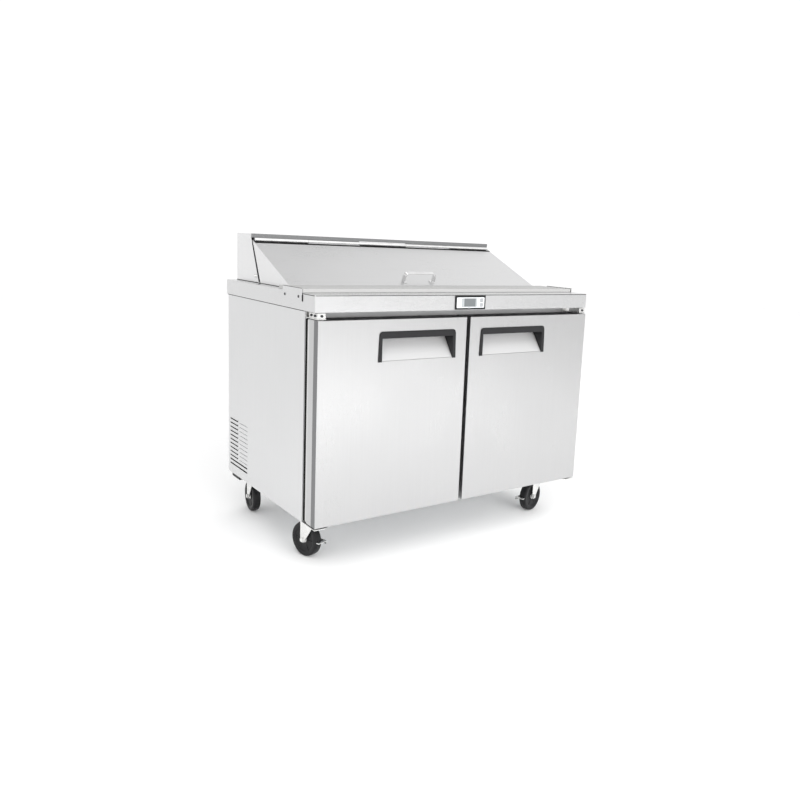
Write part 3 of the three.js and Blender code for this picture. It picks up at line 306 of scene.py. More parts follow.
def finished(obj, finish, bevel=None, segments=2):
    """Gives obj one finish, rounds its edges by bevel metres, and shades it smooth."""
    obj.data.materials.clear()
    obj.data.materials.append(FINISHES[finish])
    for polygon in obj.data.polygons:
        polygon.use_smooth = True
        polygon.material_index = 0
    if bevel:
        edge = obj.modifiers.new("edge", "BEVEL")
        edge.width = bevel
        edge.segments = segments
        edge.limit_method = "ANGLE"
        edge.angle_limit = SHARP_ANGLE
        edge.use_clamp_overlap = False
    normals = obj.modifiers.new("normals", "WEIGHTED_NORMAL")
    normals.keep_sharp = True
    normals.weight = 80


def cad_finish(names, finish, bevel, segments=2):
    """Dresses CAD nodes: flat faces are joined and split anew, then their edges are rounded."""
    for name in names:
        obj = frame["nodes"][name]
        weld = obj.modifiers.new("weld", "WELD")
        weld.merge_threshold = 1e-6
        merge = obj.modifiers.new("merge", "DECIMATE")
        merge.decimate_type = "DISSOLVE"
        merge.angle_limit = FLAT_ANGLE
        facets = obj.modifiers.new("facets", "TRIANGULATE")
        facets.min_vertices = 5
        finished(obj, finish, bevel, segments)


def add_piece(name, bm, finish, body, replaces=(), bevel=None, segments=2):
    """Makes a piece of bm that rides on body, in place of the CAD nodes that replaces names."""
    mesh = bpy.data.meshes.new(name)
    bmesh.ops.recalc_face_normals(bm, faces=bm.faces)
    bm.to_mesh(mesh)
    bm.free()
    obj = bpy.data.objects.new(name, mesh)
    bpy.context.scene.collection.objects.link(obj)
    finished(obj, finish, bevel, segments)
    for edge in obj.data.edges:
        edge.use_edge_sharp = False
    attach(obj, body)
    if replaces:
        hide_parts(*replaces)


def add_block(bm, low, high):
    """A block between two corners, for a mesh whose edges are then rounded."""
    low, high = Vector(low), Vector(high)
    size = [abs(a - b) for a, b in zip(low, high)]
    place = Matrix.Translation((low + high) / 2) @ Matrix.Diagonal((*size, 1))
    bmesh.ops.create_cube(bm, size=1, matrix=place)


def frame_matrix(origin, along):
    """Axes whose z runs along the given direction, at origin."""
    turn = Vector(along).to_track_quat("Z", "Y").to_matrix().to_4x4()
    return Matrix.Translation(origin) @ turn


def add_lathe(bm, profile, origin, along, segments=48):
    """Turns (radius, height) points about an axis. Points on the axis close the shape."""
    place = frame_matrix(origin, along)
    rings = []
    for radius, height in profile:
        if radius < 1e-7:
            rings.append([bm.verts.new(place @ Vector((0, 0, height)))])
            continue
        ring = []
        for i in range(segments):
            a = 2 * math.pi * i / segments
            ring.append(bm.verts.new(place @ Vector((radius * math.cos(a), radius * math.sin(a), height))))
        rings.append(ring)
    closed = len(rings[0]) > 1 and len(rings[-1]) > 1
    pairs = list(zip(rings, rings[1:])) + ([(rings[-1], rings[0])] if closed else [])
    for first, second in pairs:
        for i in range(segments):
            j = (i + 1) % segments
            if len(first) == 1 and len(second) > 1:
                bm.faces.new((first[0], second[i], second[j]))
            elif len(second) == 1 and len(first) > 1:
                bm.faces.new((first[i], first[j], second[0]))
            elif len(first) > 1:
                bm.faces.new((first[i], first[j], second[j], second[i]))


def rounded_ring(half_x, half_y, radius, steps=6):
    """Points of a rounded rectangle around the origin."""
    points = []
    for k, (sx, sy) in enumerate(((1, 1), (-1, 1), (-1, -1), (1, -1))):
        for i in range(steps + 1):
            a = math.pi / 2 * (k + i / steps)
            x = sx * (half_x - radius) + radius * math.cos(a)
            y = sy * (half_y - radius) + radius * math.sin(a)
            points.append((x, y))
    return points


def add_loft(bm, rings):
    """Joins rings of equally many points with quads, and closes the ends."""
    loops = [[bm.verts.new(p) for p in ring] for ring in rings]
    for first, second in zip(loops, loops[1:]):
        for i in range(len(first)):
            j = (i + 1) % len(first)
            bm.faces.new((first[i], first[j], second[j], second[i]))
    bm.faces.new(loops[0])
    bm.faces.new(loops[-1])


def add_tube(bm, points, radius, sides=10, closed=False):
    """A round bar along a line of points."""
    points = [Vector(p) for p in points]
    count = len(points)
    rings = []
    normal = None
    for i, point in enumerate(points):
        before = points[(i - 1) % count] if closed or i else point
        after = points[(i + 1) % count] if closed or i < count - 1 else point
        tangent = (after - before).normalized()
        if normal is None:
            helper = Vector((0, 0, 1)) if abs(tangent.z) < 0.9 else Vector((1, 0, 0))
            normal = tangent.cross(helper).normalized()
        normal = (normal - tangent * normal.dot(tangent)).normalized()
        side = tangent.cross(normal)
        rings.append([
            bm.verts.new(point + radius * (
                normal * math.cos(2 * math.pi * k / sides) + side * math.sin(2 * math.pi * k / sides)))
            for k in range(sides)])
    pairs = list(zip(rings, rings[1:])) + ([(rings[-1], rings[0])] if closed else [])
    for first, second in pairs:
        for k in range(sides):
            n = (k + 1) % sides
            bm.faces.new((first[k], first[n], second[n], second[k]))
    if not closed:
        bm.faces.new(rings[0])
        bm.faces.new(rings[-1])


def add_plate(bm, outlines, thickness, place, edge=0.0):
    """A flat plate from closed outlines, the first around it and the others its holes."""
    data = bpy.data.curves.new("outline", "CURVE")
    data.dimensions = "2D"
    data.fill_mode = "BOTH"
    data.extrude = thickness / 2 - edge
    data.bevel_depth = edge
    data.bevel_resolution = 1
    data.offset = -edge
    for points in outlines:
        spline = data.splines.new("POLY")
        spline.points.add(len(points) - 1)
        for target, (u, v) in zip(spline.points, points):
            target.co = (u, v, 0, 1)
        spline.use_cyclic_u = True
    holder = bpy.data.objects.new("outline", data)
    bpy.context.scene.collection.objects.link(holder)
    bpy.context.view_layer.update()
    mesh = bpy.data.meshes.new_from_object(holder.evaluated_get(bpy.context.evaluated_depsgraph_get()))
    mesh.transform(place)
    bm.from_mesh(mesh)
    bmesh.ops.remove_doubles(bm, verts=bm.verts, dist=1e-6)
    bpy.data.objects.remove(holder)
    bpy.data.meshes.remove(mesh)
    bpy.data.curves.remove(data)


def rectangle(x0, y0, x1, y1, radius):
    """Points of a rounded rectangle between two corners."""
    ring = rounded_ring(abs(x1 - x0) / 2, abs(y1 - y0) / 2, radius, 5)
    return [(x + (x0 + x1) / 2, y + (y0 + y1) / 2) for x, y in ring]


SCREW = [
    (0.0, 0.9), (0.45, 0.9), (0.5, 2.1), (0.8, 2.2), (1.0, 1.7), (1.06, 0.9), (1.06, -0.6), (0.0, -0.6)]
SCREW_RISE = 0.42                   # a screw head's heights against its radius


def add_screw(bm, place, along, radius):
    """Domed screw head with a driven socket, its underside sunk in the sheet."""
    add_lathe(bm, [(r * radius, h * radius * SCREW_RISE) for r, h in SCREW], place, along, 20)


def side_x(node, sign):
    """The x of a node's left face, where sign is -1, or of its right face, where it is 1."""
    low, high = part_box(node)
    return high.x if sign > 0 else low.x


def joint_line(name):
    """A hinge's place and direction."""
    joint = next(j for j in frame["joints"] if j["name"] == name)
    return Vector(joint["pos_m"]), Vector(joint["axis"]).normalized()


# ---------------------------------------------------------------- sheets and mouldings from CAD


def dress_cad():
    cad_finish(["side_panel_left", "side_panel_right"], "side_steel", 0.3 * MM)
    cad_finish(["door_left_skin", "door_right_skin"], "door_steel", 0.5 * MM)
    cad_finish(["back_panel", "rear_grille", "base_pan"], "galvanised_sheet", 0.3 * MM)
    cad_finish(["cabinet_liner", "evaporator_cover"], "liner_metal", 0.4 * MM)
    cad_finish(["worktop"], "top_steel", 0.5 * MM)
    cad_finish(["board_bracket_left", "board_bracket_right"], "top_steel", 0.4 * MM)
    cad_finish(["cutting_board"], "cutting_board", 1.5 * MM, 3)
    cad_finish(["hood_rear_box", "lid_shell"], "hood_steel", 0.4 * MM)
    cad_finish(["lid_hinge_rail"], "rail_steel", 0.4 * MM)
    cad_finish(["lid_gasket", "door_left_gasket", "door_right_gasket"], "seal_rubber", 0.4 * MM)
    cad_finish(["lid_handle"], "polished_steel", 0.8 * MM, 3)
    cad_finish(["door_left_liner", "door_right_liner"], "white_plastic", 2 * MM, 4)
    cad_finish(["door_left_handle", "door_right_handle"], "handle_plastic", 0.9 * MM, 3)
    hinges = [f"{level}_hinge_{side}" for level in ("upper", "lower") for side, _ in LEFT_RIGHT]
    cad_finish(hinges, "zinc_steel", 0.5 * MM)
    cad_finish(["controller_housing"], "bezel_plastic", 0.5 * MM)
    cad_finish(["controller_display"], "window_plastic", 0.3 * MM)
    cad_finish(["controller_button_up", "controller_button_down"], "button_plastic", 0.8 * MM, 3)
    cad_finish(["cord_gland"], "fan_plastic", 0.6 * MM)
    cad_finish([f"caster_plate_{c}" for c in CASTERS], "zinc_steel", 0.6 * MM)
    cad_finish([f"caster_fork_{c}" for c in CASTERS], "zinc_steel", 0.6 * MM)
    cad_finish(["brake_pedal_front_left", "brake_pedal_front_right"], "zinc_steel", 0.6 * MM)


# ---------------------------------------------------------------- fine pieces


def painted_part(name, finish, wanted):
    """Gives a second finish to the faces of a CAD node whose centres wanted() picks."""
    obj = frame["nodes"][name]
    obj.data.materials.append(FINISHES[finish])
    index = len(obj.data.materials) - 1
    for polygon in obj.data.polygons:
        if wanted(polygon.center):
            polygon.material_index = index


def block_piece(name, low, high, finish, body, bevel, segments=2):
    """A piece that is one block with rounded edges."""
    bm = bmesh.new()
    add_block(bm, low, high)
    add_piece(name, bm, finish, body, bevel=bevel, segments=segments)


def add_prism_x(bm, outline, x0, x1):
    """An outline of (y, z) points, extruded from x0 to x1."""
    add_loft(bm, [[(x, y, z) for y, z in outline] for x in (x0, x1)])


FACE_XZ = Matrix(((1, 0, 0, 0), (0, 0, -1, 0), (0, 1, 0, 0), (0, 0, 0, 1)))   # plate normal to -Y


def add_front_plate(bm, outlines, y, thickness, edge):
    """A plate that faces the front, with its middle at y."""
    add_plate(bm, outlines, thickness, Matrix.Translation((0, y, 0)) @ FACE_XZ, edge)


def front_outline(box, inset, radius):
    """A box's outline seen from the front, smaller by inset all round."""
    low, high = box
    return rectangle(low.x + inset, low.z + inset, high.x - inset, high.z - inset, radius)


POCKET_DEPTH = 57 * MM
POCKET_GAP = 0.4 * MM           # from the skin's own pocket to the panel
POCKET_RISE = 78 * MM
POCKET_FOOT = 2.9 * MM          # above the foot of the handle trim
POCKET_CEILING = 10.2 * MM      # below the top of the handle trim
POCKET_LIP = 1 * MM             # from the door's face to the ceiling's front edge
POCKET_HALF = 146.8 * MM
POCKET_SHEET = 0.8 * MM


def add_pocket_panel(side):
    """Bent sheet that lines the handle pocket: sloping floor, back and ceiling."""
    low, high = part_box(f"door_{side}_handle")
    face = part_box(f"door_{side}_skin")[0].y
    lip = face + POCKET_LIP
    centre = (low.x + high.x) / 2
    back = face + POCKET_DEPTH - POCKET_GAP
    foot = low.z + POCKET_FOOT
    bend = foot + POCKET_RISE
    top = high.z - POCKET_CEILING
    t = POCKET_SHEET
    outer = [(face, foot), (back, bend), (back, top), (lip, top)]
    inner = [(lip, top - t), (back - t, top - t), (back - t, bend + 0.6 * t), (face, foot + 1.3 * t)]
    bm = bmesh.new()
    add_prism_x(bm, outer + inner, centre - POCKET_HALF, centre + POCKET_HALF)
    add_piece(f"door_{side}_pocket_panel", bm, "pocket_steel", f"door_{side}")


# How far back the painted dark reflection on each door's edge reaches
EDGE_REFLECTION_DEPTH = 28 * MM


def add_door_details(side, sign):
    """A dark strip on a door's hinge-side edge, a painted dark reflection of its rounded edge; a black strip
    along its top; its seal and its pocket panel.
    """
    body = f"door_{side}"
    low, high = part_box(f"{body}_skin")
    outer = side_x(f"{body}_skin", sign)
    block_piece(
        f"{body}_dark_edge_reflection", (outer - sign * 0.8 * MM, low.y + 0.5 * MM, low.z + 0.6 * MM),
        (outer + sign * 0.5 * MM, low.y + EDGE_REFLECTION_DEPTH, high.z - 0.6 * MM),
        "trim_steel", body, 0.3 * MM)
    # A black strip along the door's top edge.
    block_piece(
        f"{body}_top_black_strip", (low.x + 1.5 * MM, low.y + 3 * MM, high.z - 1 * MM),
        (high.x - 1.5 * MM, high.y + 12 * MM, high.z + 0.8 * MM),
        "bezel_plastic", body, 0.4 * MM)
    add_door_seal(side)
    add_pocket_panel(side)


SEAL_GROWTH = 3.5 * MM
# The seal's layers: start and end as shares of its depth, then inset and width in mm.
SEAL_LAYERS = ((0.0, 0.3, 0.0, 19), (0.3, 0.62, 2.5, 14), (0.62, 1.0, 0.0, 18))


def add_door_seal(side):
    """Bellows seal: a base strip, a narrow neck and the magnet strip that meets the frame."""
    low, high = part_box(f"door_{side}_gasket")
    centre = Vector(((low.x + high.x) / 2, 0, (low.z + high.z) / 2))
    half_x = (high.x - low.x) / 2 + SEAL_GROWTH
    half_z = (high.z - low.z) / 2 + SEAL_GROWTH
    depth = high.y - low.y
    bm = bmesh.new()
    for start, end, inset, width in SEAL_LAYERS:
        x, z = half_x - inset * MM, half_z - inset * MM
        w = width * MM
        place = Matrix.Translation((centre.x, low.y + depth * (start + end) / 2, centre.z)) @ FACE_XZ
        add_plate(
            bm, [rectangle(-x, -z, x, z, 4 * MM), rectangle(-x + w, -z + w, x - w, z - w, 3 * MM)],
            depth * (end - start), place, 0.5 * MM)
    add_piece(
        f"door_{side}_seal", bm, "seal_rubber", f"door_{side}", [f"door_{side}_gasket"])


HINGE_BLOCK_X = 30 * MM
HINGE_BLOCK_Y = 60 * MM
HINGE_SCREW_R = 4.2 * MM


def add_hinge_block(side, sign):
    """Cast cover over the upper hinge's tongue, with its driven screws."""
    worktop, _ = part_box("worktop")
    outer = side_x(f"door_{side}_skin", sign) - sign * 0.3 * MM
    inner = outer - sign * HINGE_BLOCK_X
    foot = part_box(f"door_{side}_skin")[1].z + 5.8 * MM
    top = worktop.z - 1.5 * MM
    front = worktop.y - 3 * MM
    block_piece(
        f"hinge_block_{side}", (outer, front, foot), (inner, front + HINGE_BLOCK_Y, top),
        "zinc_steel", "cabinet", 2.2 * MM, 4)
    middle = (foot + top) / 2
    bm = bmesh.new()
    for y in (16, 42):
        add_screw(bm, (outer, front + y * MM, middle), (sign, 0, 0), HINGE_SCREW_R)
    add_screw(bm, ((outer + inner) / 2, front, middle), (0, -1, 0), HINGE_SCREW_R)
    add_piece(f"hinge_screws_{side}", bm, "dark_screw", "cabinet")


def add_recess():
    """Grey header behind the slot between the worktop's skirt and the doors."""
    low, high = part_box("cabinet_liner")
    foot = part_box("door_left_skin")[1].z - 3 * MM
    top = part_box("worktop")[0].z + 8 * MM
    inset = 4 * MM
    block_piece(
        "header_panel", (low.x + inset, low.y - 0.6 * MM, foot), (high.x - inset, low.y + 0.5 * MM, top),
        "header_steel", "cabinet", 0.3 * MM)


def add_dark_lines():
    """Thin dark strips: a painted dark reflection below the worktop's upper edge, and black lines above the
    side sheets and under the hood.
    """
    low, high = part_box("worktop")
    lift = 0.25 * MM
    inset = 3 * MM
    foot, top = high.z - 3.4 * MM, high.z - 1.2 * MM
    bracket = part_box("board_bracket_left")[0].y
    bm = bmesh.new()
    # A black line below the worktop's front top edge, the painted dark reflection of its rolled edge.
    add_block(bm, (low.x + inset, low.y - lift, foot), (high.x - inset, low.y + lift, top))
    for x in (low.x, high.x):
        add_block(bm, (x - lift, low.y + inset, foot), (x + lift, bracket - 1 * MM, top))
    add_piece("worktop_edge_reflection_line", bm, "seal_rubber", "cabinet", bevel=0.1 * MM)
    for side, sign in LEFT_RIGHT:
        panel_low, panel_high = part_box(f"side_panel_{side}")
        outer = side_x(f"side_panel_{side}", sign)
        block_piece(
            f"skirt_black_line_{side}", (outer - sign * 0.2 * MM, panel_low.y + 2 * MM, low.z - 2.6 * MM),
            (outer + sign * 3.6 * MM, panel_high.y - 2 * MM, low.z + 0.4 * MM),
            "seal_rubber", "cabinet", 0.5 * MM)
    hood_low, hood_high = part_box("hood_rear_box")
    bm = bmesh.new()
    for sign in (-1, 1):
        x = side_x("hood_rear_box", sign)
        add_block(
            bm, (x - sign * 0.3 * MM, hood_low.y + 6 * MM, hood_low.z + 0.1 * MM),
            (x + sign * 1.2 * MM, hood_high.y - 1 * MM, hood_low.z + 2.0 * MM))
    add_piece("hood_foot_black_line", bm, "seal_rubber", "cabinet", bevel=0.3 * MM)


def add_bracket_shadow_lines():
    """Black strips in front of and on top of the board brackets, painted shadow along their edges, and the
    dark heads of their screws.
    """
    for side, sign in LEFT_RIGHT:
        node = f"board_bracket_{side}"
        low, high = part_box(node)
        inner = side_x(node, -sign)
        outer = inner + sign * 2.2 * MM
        screws_from = abs(outer) + 0.1 * MM
        bm = bmesh.new()
        add_block(bm, (inner, low.y - 1.0 * MM, low.z + 2 * MM), (outer, low.y + 0.3 * MM, low.z + 24 * MM))
        add_block(bm, (inner, low.y + 1 * MM, high.z - 0.6 * MM), (outer, high.y - 1 * MM, high.z + 0.6 * MM))
        add_piece(f"bracket_shadow_line_{side}", bm, "seal_rubber", "cabinet", bevel=0.2 * MM)
        painted_part(node, "dark_screw", lambda c: abs(c.x) > screws_from)


LID_SLOPE = math.atan2(139, 312)    # rise and run of the lid's front
# Section of the black strip on that slope, a painted shadow line below the hinge: mm up the slope, mm out of
# it.
LID_SHADOW_STRIP = ((-6.5, -0.5), (-1, -0.5), (-1, 1.4), (-3, 2.2), (-6, 1.4))
WASHER = [(0, -0.5), (8, -0.5), (8, 1), (7.4, 1.6), (0, 1.6)]


def add_lid_shadow_strip(rail_foot):
    """Black strip across the lid, just below its hinge: a painted shadow line under the knuckles."""
    low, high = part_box("lid_shell")
    along = Vector((0, math.cos(LID_SLOPE), math.sin(LID_SLOPE)))
    out = Vector((0, -math.sin(LID_SLOPE), math.cos(LID_SLOPE)))
    ends = []
    for x in (low.x + 4 * MM, high.x - 1 * MM):
        crest = Vector((x, high.y - 16 * MM, rail_foot - 16 * MM))
        ends.append([crest + along * a * MM + out * b * MM for a, b in LID_SHADOW_STRIP])
    bm = bmesh.new()
    add_loft(bm, ends)
    add_piece("lid_hinge_shadow_line", bm, "seal_rubber", "lid")


def add_hood_bolts():
    """A screw on a washer, low on each fixed cheek."""
    low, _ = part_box("hood_rear_box")
    y, z = low.y + 31 * MM, low.z + 25 * MM
    bm = bmesh.new()
    for sign in (-1, 1):
        x = side_x("hood_rear_box", sign)
        add_lathe(bm, [(r * MM, h * MM) for r, h in WASHER], (x, y, z), (sign, 0, 0), 32)
        add_screw(bm, (x + sign * 1.4 * MM, y, z), (sign, 0, 0), 5 * MM)
    add_piece("hood_bolts", bm, "zinc_steel", "cabinet")


def add_hood_details():
    rail_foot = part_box("lid_hinge_rail")[1].z - 15 * MM
    # The knuckles' faces on the rail and on the lid take the brighter polished steel, a painted highlight
    # line along the hinge.
    painted_part("lid_hinge_rail", "polished_steel", lambda c: c.z < rail_foot + 0.2 * MM)
    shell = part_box("lid_shell")[1]
    strip_z, strip_y = shell.z - 12.7 * MM, shell.y - 13.6 * MM
    painted_part("lid_shell", "polished_steel", lambda c: c.z > strip_z and c.y > strip_y)
    add_hinge_barrels()
    add_lid_shadow_strip(rail_foot)
    add_cheek_seal()
    add_hood_bolts()


BARREL_ENDS = (113, 345, 565)    # ends of the hinge's knuckles, either side of the middle
BARREL_R = 6.8 * MM
BARREL_BORE = 2.5 * MM
BARREL_CHAMFER = 0.4 * MM


def add_hinge_barrels():
    """Smooth tubes around the lid hinge: three knuckles on the rail and two on the lid."""
    centre, _ = joint_line("lid_hinge")
    a, b, c = BARREL_ENDS
    runs = (
        ("rail_barrels", "cabinet", ((-c, -b), (-a, a), (b, c))),
        ("lid_barrels", "lid", ((-b, -a), (a, b))))
    r, edge = BARREL_R, BARREL_CHAMFER
    for name, body, spans in runs:
        bm = bmesh.new()
        for x0, x1 in spans:
            half = (x1 - x0) / 2 * MM - 0.25 * MM
            middle = Vector(((x0 + x1) / 2 * MM, centre.y, centre.z))
            profile = [
                (BARREL_BORE, -half), (r - edge, -half), (r, -half + edge),
                (r, half - edge), (r - edge, half), (BARREL_BORE, half)]
            add_lathe(bm, profile, middle, (1, 0, 0), 40)
        # In the brighter polished steel, which paints the highlight line along the hinge.
        add_piece(name, bm, "polished_steel", body)


CHEEK_FOOT = (539.6, 6.0)       # front edge of the fixed cheek: y and height above the worktop
CHEEK_TOP = (605.0, 146.0)
CHEEK_SEAL = ((-0.8, 0.8), (-0.8, -2.6), (0.9, -2.6), (0.9, 0.8))   # mm outward, mm forward


def add_cheek_seal():
    """Black rubber edging on the front edge of the fixed cheeks."""
    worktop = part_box("worktop")
    front = Vector((0, worktop[0].y, worktop[1].z))
    foot, top = (front + Vector((0, y * MM, z * MM)) for y, z in (CHEEK_FOOT, CHEEK_TOP))
    across = Vector((0, (top - foot).z, -(top - foot).y)).normalized()
    bm = bmesh.new()
    for sign in (-1, 1):
        x = side_x("hood_rear_box", sign)
        section = [Vector((x + sign * out * MM, 0, 0)) - across * (ahead * MM) for out, ahead in CHEEK_SEAL]
        add_loft(bm, [[end + corner for corner in section] for end in (foot, top)])
    add_piece("cheek_seal", bm, "seal_rubber", "cabinet", bevel=0.3 * MM)


CONTROLLER_RIM = 6 * MM         # of the black bezel, around the pale face


def add_controller_face():
    """Pale face around the window and buttons, the dark window and the small tab below it."""
    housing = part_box("controller_housing")
    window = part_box("controller_display")
    front, foot = housing[0].y, housing[0].z
    outlines = [front_outline(housing, CONTROLLER_RIM, 3 * MM), front_outline(window, 1 * MM, 2 * MM)]
    for name in ("up", "down"):
        outlines.append(front_outline(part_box(f"controller_button_{name}"), -0.6 * MM, 1.2 * MM))
    bm = bmesh.new()
    add_front_plate(bm, outlines, front - 0.2 * MM, 0.8 * MM, 0.15 * MM)
    add_piece("controller_face", bm, "panel_plastic", "cabinet")
    low, high = window
    dark = rectangle(low.x + 15 * MM, low.z + 2.5 * MM, high.x - 6 * MM, high.z - 2.5 * MM, 1.5 * MM)
    bm = bmesh.new()
    add_front_plate(bm, [dark], low.y - 0.3 * MM, 0.8 * MM, 0.15 * MM)
    add_piece("controller_dark_window", bm, "dark_window", "cabinet")
    middle = (low.x + high.x) / 2
    tab = rectangle(middle - 5 * MM, foot + 4 * MM, middle + 5 * MM, foot + 8 * MM, 1.5 * MM)
    bm = bmesh.new()
    add_front_plate(bm, [tab], front - 0.7 * MM, 1.2 * MM, 0.2 * MM)
    add_piece("controller_tab", bm, "button_plastic", "cabinet")


VENT_ROWS = 12
VENT_PITCH = 16.8 * MM
VENT_FOOT = 36 * MM             # above the side sheet's lower edge
VENT_REAR = 19 * MM             # in front of its rear edge
VENT_REACH = 176 * MM           # from there to the front of the openings
VENT_LENGTH = 82 * MM
VENT_BARS = 10
LOUVRE = ((-0.5, 9.6), (0.1, 9.6), (1.8, 6.2), (1.1, 5.8), (-0.5, 6.6))     # mm outward, mm up


def add_vents():
    """Pressed louvres at the rear of the vents, bars across their front, and a dark filter behind."""
    for side, sign in LEFT_RIGHT:
        low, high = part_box(f"side_panel_{side}")
        outer = side_x(f"side_panel_{side}", sign)
        rear = high.y - VENT_REAR
        front = rear - VENT_REACH
        foot = low.z + VENT_FOOT
        top = foot + VENT_ROWS * VENT_PITCH
        bm = bmesh.new()
        for row in range(2, VENT_ROWS):
            z = foot + row * VENT_PITCH
            hood = [(outer + sign * out * MM, z + up * MM) for out, up in LOUVRE]
            add_loft(bm, [[(x, y, z) for x, z in hood] for y in (rear - VENT_LENGTH, rear)])
        add_piece(f"side_louvres_{side}", bm, "side_steel", "cabinet")
        bm = bmesh.new()
        for k in range(VENT_BARS):
            y = front + (5 + 8.2 * k) * MM
            add_block(
                bm, (outer - sign * 2.6 * MM, y, foot + 1.8 * VENT_PITCH),
                (outer - sign * 0.5 * MM, y + 4 * MM, top))
        add_piece(f"vent_bars_{side}", bm, "side_steel", "cabinet", bevel=0.2 * MM)
        block_piece(
            f"vent_filter_{side}", (outer - sign * 9 * MM, front - 6 * MM, foot - 6 * MM),
            (outer - sign * 6 * MM, rear + 6 * MM, top),
            "seal_rubber", "cabinet", 0.8 * MM)


def add_underside():
    """Black skids under the rear corners of the bottom tray."""
    low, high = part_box("base_pan")
    for side, sign in LEFT_RIGHT:
        x = side_x("base_pan", sign)
        block_piece(
            f"base_skid_{side}", (x, high.y - 108 * MM, low.z - 15 * MM),
            (x - sign * 17 * MM, high.y - 32 * MM, low.z),
            "bezel_plastic", "cabinet", 3 * MM, 4)


REAR_SCREWS = 5                 # in a row
REAR_INSET = 14 * MM


def add_rear_screws():
    """Rows of screws in the rear sheets, and the dark joint between them."""
    low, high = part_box("rear_grille")
    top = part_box("back_panel")[1]
    pitch = (high.x - low.x - 2 * REAR_INSET) / (REAR_SCREWS - 1)
    bm = bmesh.new()
    for z in (low.z + 10 * MM, high.z - 12 * MM, high.z + 14 * MM, top.z - 66 * MM):
        for k in range(REAR_SCREWS):
            add_screw(bm, (low.x + REAR_INSET + k * pitch, high.y, z), (0, 1, 0), 3.6 * MM)
    add_piece("rear_screws", bm, "zinc_steel", "cabinet")
    block_piece(
        "rear_joint", (low.x + 1 * MM, high.y - 0.6 * MM, high.z - 0.4 * MM),
        (high.x - 1 * MM, high.y + 0.1 * MM, high.z + 1.4 * MM),
        "seal_rubber", "cabinet", 0.1 * MM)


# ---------------------------------------------------------------- casters

WHEEL_HALF = [      # radius, and height from the wheel's middle, in mm
    (5.6, 12.0), (13.0, 12.0), (14.5, 13.2), (18.0, 13.2), (19.5, 10.8), (42.0, 10.8), (44.5, 12.2),
    (47.0, 15.8), (55.5, 15.8), (58.8, 14.9), (61.0, 13.0), (61.9, 10.2), (61.2, 9.4), (61.2, 8.4),
    (62.2, 7.6), (62.45, 3.0),
]
WHEEL_RIBS = 6
RIB_SIZE = (26 * MM, 3 * MM, 2.4 * MM)
RIB_FROM_AXLE = 30.5 * MM
RIB_FROM_MIDDLE = 11 * MM
BEARING_CAP = [(6, 11.8), (12.4, 11.8), (12.4, 12.6), (10.5, 13.6), (6, 13.6)]


def add_wheel(corner):
    """Moulded wheel with ribs between hub and tread, and its two bearing caps."""
    centre, axis = joint_line(f"roll_{corner}")
    profile = [(r * MM, -h * MM) for r, h in WHEEL_HALF] + [(r * MM, h * MM) for r, h in reversed(WHEEL_HALF)]
    bm = bmesh.new()
    add_lathe(bm, profile, centre, axis, 96)
    place = frame_matrix(centre, axis)
    for i in range(WHEEL_RIBS):
        turn = Matrix.Rotation(2 * math.pi * i / WHEEL_RIBS, 4, "Z")
        for side in (-1, 1):
            rib = bmesh.ops.create_cube(bm, size=1, matrix=Matrix.Diagonal((*RIB_SIZE, 1)))
            shift = Matrix.Translation((RIB_FROM_AXLE, 0, side * RIB_FROM_MIDDLE))
            bmesh.ops.transform(bm, matrix=place @ turn @ shift, verts=rib["verts"])
    add_piece(
        f"wheel_{corner}", bm, "wheel_rubber", f"wheel_{corner}", [f"caster_wheel_{corner}"])
    bm = bmesh.new()
    for side in (-1, 1):
        add_lathe(bm, [(r * MM, side * h * MM) for r, h in BEARING_CAP], centre, axis, 40)
    add_piece(f"bearing_caps_{corner}", bm, "zinc_steel", f"wheel_{corner}")


# ---------------------------------------------------------------- pans, shelves and machinery

PAN_MOUTH_X = 77.6 * MM         # half the width of a pan's mouth
PAN_FLANGE_Y = 13.4 * MM        # from the mouth to the flange's edge, front and rear
PAN_SHEET = 1.4 * MM
# Rings of the bottom, outside and inside: mm past the mouth, mm above the foot, corner radius in mm.
PAN_OUTSIDE = [(-21, 0.0, 4), (-11, 2.2, 9), (-4.8, 9.0, 14), (-2.8, 22.0, 16)]
PAN_INSIDE = [(-4.2, 22.0, 15), (-6.2, 10.0, 13), (-12, 3.6, 8), (-22, 1.4, 3)]


def add_pan(number):
    """Deep-drawn pan: rolled flange, tapering walls and a wide bottom fillet."""
    name = f"food_pan_{number}"
    low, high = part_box(name)
    centre = (low + high) / 2
    flange_x, flange_y = (high.x - low.x) / 2, (high.y - low.y) / 2
    mouth_x, mouth_y = PAN_MOUTH_X, flange_y - PAN_FLANGE_Y
    under = high.z - PAN_SHEET

    def around(half_x, half_y, grow, radius, z):
        ring = rounded_ring(half_x + grow * MM, half_y + grow * MM, radius * MM)
        return [(centre.x + u, centre.y + v, z) for u, v in ring]

    rings = [around(mouth_x, mouth_y, d, r, low.z + z * MM) for d, z, r in PAN_OUTSIDE]
    rings += [
        around(mouth_x, mouth_y, 1.4, 17, under - 3 * MM),
        around(mouth_x, mouth_y, 2.6, 18, under),
        around(flange_x, flange_y, -0.5, 8, under),
        around(flange_x, flange_y, 0, 8.5, under + 0.7 * MM),
        around(flange_x, flange_y, -0.5, 8, high.z),
        around(mouth_x, mouth_y, 3, 18, high.z),
        around(mouth_x, mouth_y, 0.9, 16.5, high.z - 1 * MM),
        around(mouth_x, mouth_y, 0, 16, high.z - 3.5 * MM),
    ]
    rings += [around(mouth_x, mouth_y, d, r, low.z + z * MM) for d, z, r in PAN_INSIDE]
    bm = bmesh.new()
    add_loft(bm, rings)
    add_piece(f"pan_{number}_shell", bm, "pan_steel", f"pan_{number}", [name])


